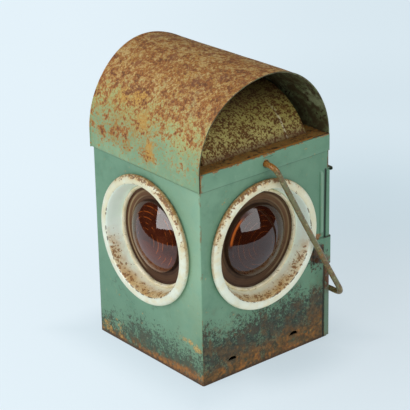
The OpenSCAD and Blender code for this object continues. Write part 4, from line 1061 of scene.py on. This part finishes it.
def dishWobble(r, h, a):
    return 0.12 * math.sin(3 * a + 1.1) * (r > 58), 0.15 * math.sin(2 * a + 0.4) * (r > 50) + 0.1 * math.sin(5 * a)


def beadWobble(r, h, a):
    return 0.18 * math.sin(7 * a) * math.sin(3 * a + 1), 0.15 * math.sin(11 * a + 2) * (h > -9.4)


def lensProfile():
    ball, top, back, edge = lens["ball"], lens["top"], lens["back"], lens["radius"]
    reach = math.asin(lens["cap"] / ball)
    turns = [reach * k / lens["domeSteps"] for k in range(1, lens["domeSteps"] + 1)]
    profile = [(0, top)] + [(ball * math.sin(a), top - ball * (1 - math.cos(a))) for a in turns] + [*lens["flat"]]
    profile += [(edge - 0.2, -12.4), (edge, -12.8), (edge, -15.7), (edge - 0.4, back), (45.0, back)]
    for r in lens["rings"]:
        profile += [(r, back + lens["ringDeep"]), (r - 0.3, back)]
    return profile + [(0, back)]


def buildLenses():
    for side, near in (("front", 1.0), ("right", -1.0), ("left", 1.0)):
        place = facing(side)
        bezel = spun("bezel" + side.title(), bowl["face"] + bowl["back"], place, finishes["enamel"], near=near, sharp=50,
                     wobble=dishWobble)
        dress(bezel, "case", "enamel", "bezel_" + side)
        putty = spun("puttyBead" + side.title(), bead, place, finishes["putty"], near=near, sharp=80, wobble=beadWobble)
        dress(putty, "case", "putty", "seal_" + side)
        glass = spun("lens" + side.title(), lensProfile(), place, finishes["glass"], near=near, sharp=30, closed=False)
        dress(glass, "case", "amber_glass", "lens_" + side)
        print("lens unit:", side)


buildLenses()


# bail: one bent wire, its ends turned in through the collar
hoop = dict(wire=5.2, sides=20, legX=89.4, legLen=170.8, lean=29.2, bend=10.0, stride=5.0, pivot=(0, -1.0, 194.6),
            tail=69.5, wobble=0.9)


def wireTree():
    b, k = newTree("bentWire", {"Geometry": ("Line",), "Float": ("Radius", "Wobble"), "Int": ("Sides",),
                                "Material": ("Finish",)})
    line = b.node("GeometryNodeMeshToCurve", {}, {"Mesh": k["Line"]})
    stray = b.node("ShaderNodeTexNoise", {"noise_dimensions": "4D"}, {"W": 5.3, "Scale": 22.0, "Detail": 1.0}, "Color")
    stray = b.vector("SCALE", b.vector("SUBTRACT", stray, (0.5, 0.5, 0.5)), scale=k["Wobble"])
    line = b.node("GeometryNodeSetPosition", {}, {"Geometry": line, "Offset": stray})
    return endTree(b, sweptRing(b, line, k["Radius"], k["Sides"]), k["Finish"])


def buildBail():
    lean = math.radians(hoop["lean"])
    reach = Vector((0, math.sin(lean), -math.cos(lean))) * hoop["legLen"]
    tail, right, left, otherTail = (Vector(hoop["pivot"]) + Vector((x, 0, 0))
                                    for x in (hoop["tail"], hoop["legX"], -hoop["legX"], -hoop["tail"]))
    bends = [tail, right, right + reach, left + reach, left, otherTail]
    line = parted(rounded(bends, hoop["bend"], 8), hoop["stride"])
    mesh = bpy.data.meshes.new("bail")
    mesh.from_pydata([p * mm for p in line], [(k, k + 1) for k in range(len(line) - 1)], [])
    bail = grow("bailWire", wireTree(), {"Radius": hoop["wire"] / 2 * mm, "Wobble": hoop["wobble"] * mm,
                                         "Sides": hoop["sides"], "Finish": finishes["wire"]}, mesh, sharp=60)
    dress(bail, "handle", "bail_paint", "bail")


buildBail()
print("bail bent")


# wick: a flat woven band in its tube
wickBand = dict(wide=16.0, thick=3.0, low=6.0, high=105.0, steps=99, sides=36, fray=0.6, weave=0.04, ribs=4.2, pinch=0.01)


def power(value, exponent):  # keeps the sign
    return math.copysign(abs(value) ** exponent, value)


def buildWick():
    rows = []
    for k in range(wickBand["steps"] + 1):
        z = wickBand["low"] + (wickBand["high"] - wickBand["low"]) * k / wickBand["steps"]
        row = []
        for a in (math.tau * n / wickBand["sides"] for n in range(wickBand["sides"])):
            u = power(math.cos(a), 0.35) * wickBand["wide"] / 2
            v = power(math.sin(a), 0.5) * wickBand["thick"] / 2
            weave = 1 - wickBand["weave"] * (0.5 + 0.5 * math.sin(u * wickBand["ribs"] + math.pi * (k % 2)))
            top = wickBand["fray"] * noise.noise(Vector((u, v, 3.1))) if k == wickBand["steps"] else 0
            row.append(Vector((v * weave, u * (1 - wickBand["pinch"] * (k % 2)), z - abs(top))) * mm)
        rows.append(row)
    dress(solid("wickBand", rows, finishes["cotton"]), "wick", "cotton", "wick")


buildWick()


# nodes whose solid shape is right keep it and get their finish
kept = dict(rust=("base_pan", "top_deck", "font_ring", "clamp_front", "clamp_right", "clamp_left", "clamp_screws",
                  "bail_washers"),
            arch=("arch_end_front", "arch_end_rear"), tin=("font_cup", "font_top"),
            brass=("burner_collar", "burner", "flame_cone", "filler_cap", "winder_spindle", "winder_spurs", "winder_knob"))
for coat, nodes in kept.items():
    for name in nodes:
        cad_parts[name].data.materials.clear()
        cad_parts[name].data.materials.append(finishes[coat])
print("kept solids dressed:", sum(len(n) for n in kept.values()))


# pale floor, two soft boxes and the room behind the camera
studio = dict(floor="e6eff5", cloud="e3edf3", floorSize=4.0, floorDrop=0.0002, fill=0.58, pale="e7f5fd", dim="e2f0f8",
              shade="c6d8e1", glowLeft=0.86, glowRight=0.42, glowFar=0.94, nearBy=120, farOff=450, bounce=0.8,
              acrossX=0.635, acrossY=0.773, acrossFrom=-250, acrossTo=420, roomSize=6.0, roomGlow=0.02, aim=(0, 0, 0.12),
              tableFront=0.38, tableSide=0.48, tableHigh=0.0006)
shades = (((-120, 320, 0), (270, 270, 400), 0.82), ((-320, 520, 0), (330, 330, 400), 0.38),
          ((-560, 860, 0), (520, 520, 400), 0.3), ((90, 15, 0), (60, 95, 400), 0.65))  # centre, reach, strength
softBoxes = (dict(name="boxLeft", turn=-7, lampTurn=-7, rise=26, away=1.05, wide=0.78, tall=0.9, tilt=12, power=4.25,
                  shine=6.0),
             dict(name="boxRight", turn=106, lampTurn=78, rise=26, away=1.05, wide=0.72, tall=0.92, tilt=-8, power=2.4,
                  shine=3.0))


def glowing(name, colour, strength):
    f = Finish(name)
    return f.done(f.node("ShaderNodeEmission", {}, {"Color": colour, "Strength": strength}))


def paleFloor():
    f = Finish("paleFloor")
    base = f.fade(f.grain(400, 2, 0.5, 121), 0.3, 0.7, studio["floor"], studio["cloud"])
    skin = f.node("ShaderNodeBsdfPrincipled", {}, {"Base Color": base, "Roughness": 0.75, "Specular IOR Level": 0.25})
    across = f.x * studio["acrossX"] + f.y * studio["acrossY"]  # from left to right in the photo's view
    across = f.ease(across, studio["acrossFrom"], studio["acrossTo"])
    away = f.vector("LENGTH", f.vector("MULTIPLY", f.place, (1, 1, 0)), out="Value")
    near = f.ease(across, 0.2, 0.8, studio["glowLeft"], studio["glowRight"])
    share = f.step(away, studio["nearBy"], studio["farOff"], near, studio["glowFar"])
    # painted light: the floor is painted dimmer towards the right
    f.colour = f.blend(across, studio["pale"], studio["dim"])
    # painted shadows: dark blobs on the floor, and a darker band round the lantern's foot
    dark = [f.blob(centre, reach, 0.9) * strength for centre, reach, strength in shades]
    foot = f.step(f.both(abs(f.x), abs(f.y)), 130, 76) * 0.45
    for shade in (*dark[:-1], f.both(dark[-1], foot)):
        f.coat(shade, studio["shade"])
    shown = f.shown()
    glow = f.node("ShaderNodeEmission", {}, {"Color": f.blend(shown, "f2f2ea", f.colour), "Strength": 1.0})
    share = studio["bounce"] * (1 - shown) + share * shown
    return f.done(f.node("ShaderNodeMixShader", {}, {0: share, 1: skin, 2: glow}))


def stand(box, turn):
    turn, rise = math.radians(turn), math.radians(box["rise"])
    way = Vector((math.sin(turn) * math.cos(rise), -math.cos(turn) * math.cos(rise), math.sin(rise)))
    turned = way.to_track_quat("Z", "Y") @ Quaternion((0, 0, 1), math.radians(box["tilt"]))
    return Vector(studio["aim"]) + way * box["away"], turned.to_euler()


def softBox(box):
    light = bpy.data.lights.new(box["name"], "AREA")
    light.shape, light.size, light.size_y, light.energy = "RECTANGLE", box["wide"], box["tall"], box["power"]
    lamp = bpy.data.objects.new(box["name"], light)
    lamp.location, lamp.rotation_euler = stand(box, box["lampTurn"])
    lamp.visible_camera = lamp.visible_glossy = False
    scene.collection.objects.link(lamp)
    bm = bmesh.new()  # what the glass mirrors has a place of its own
    place, turned = stand(box, box["turn"])
    bmesh.ops.create_grid(bm, x_segments=1, y_segments=1, size=0.5, matrix=turned.to_matrix().to_4x4()
                          @ Matrix.Diagonal((box["wide"], box["tall"], 1, 1)))
    bmesh.ops.translate(bm, verts=bm.verts, vec=place)
    return meshPiece(box["name"] + "Shine", bm, glowing(box["name"] + "Shine", "f6f8f8", box["shine"]))


def setWorld():
    world = bpy.data.worlds.new("studioAir")
    world.use_nodes = True
    world.node_tree.nodes.clear()
    b = Bench(world.node_tree)
    fill = b.node("ShaderNodeBackground", {}, {"Color": "f6f8fa", "Strength": studio["fill"]})
    pale = b.node("ShaderNodeBackground", {}, {"Color": studio["pale"], "Strength": 1.0})
    air = b.node("ShaderNodeMixShader", {}, {0: b.shown(), 1: fill, 2: pale})
    b.node("ShaderNodeOutputWorld", {}, {"Surface": air})
    scene.world = world


def buildStudio():
    shines = [softBox(box) for box in softBoxes]
    bm = bmesh.new()
    bmesh.ops.create_circle(bm, cap_ends=True, segments=96, radius=studio["floorSize"])
    floor = meshPiece("floor", bm, paleFloor())
    floor.location.z = -studio["floorDrop"]
    bm = bmesh.new()
    bmesh.ops.create_uvsphere(bm, u_segments=48, v_segments=24, radius=studio["roomSize"])
    dark = glowing("darkRoom", "8a8f92", studio["roomGlow"])
    room = meshPiece("darkRoom", bm, dark)
    bm = bmesh.new()  # the table's ends, seen only in the glass
    far, front, side = studio["floorSize"], -studio["tableFront"], studio["tableSide"]
    for left, near, right, back in ((-far, -far, far, front), (side, front, far, far)):
        corners = ((left, near), (right, near), (right, back), (left, back))
        bm.faces.new([bm.verts.new((x, y, studio["tableHigh"])) for x, y in corners])
    edge = meshPiece("tableEnd", bm, dark)
    for back in (room, edge, *shines):
        back.visible_camera = back.visible_diffuse = back.visible_transmission = back.visible_shadow = False
    setWorld()


buildStudio()
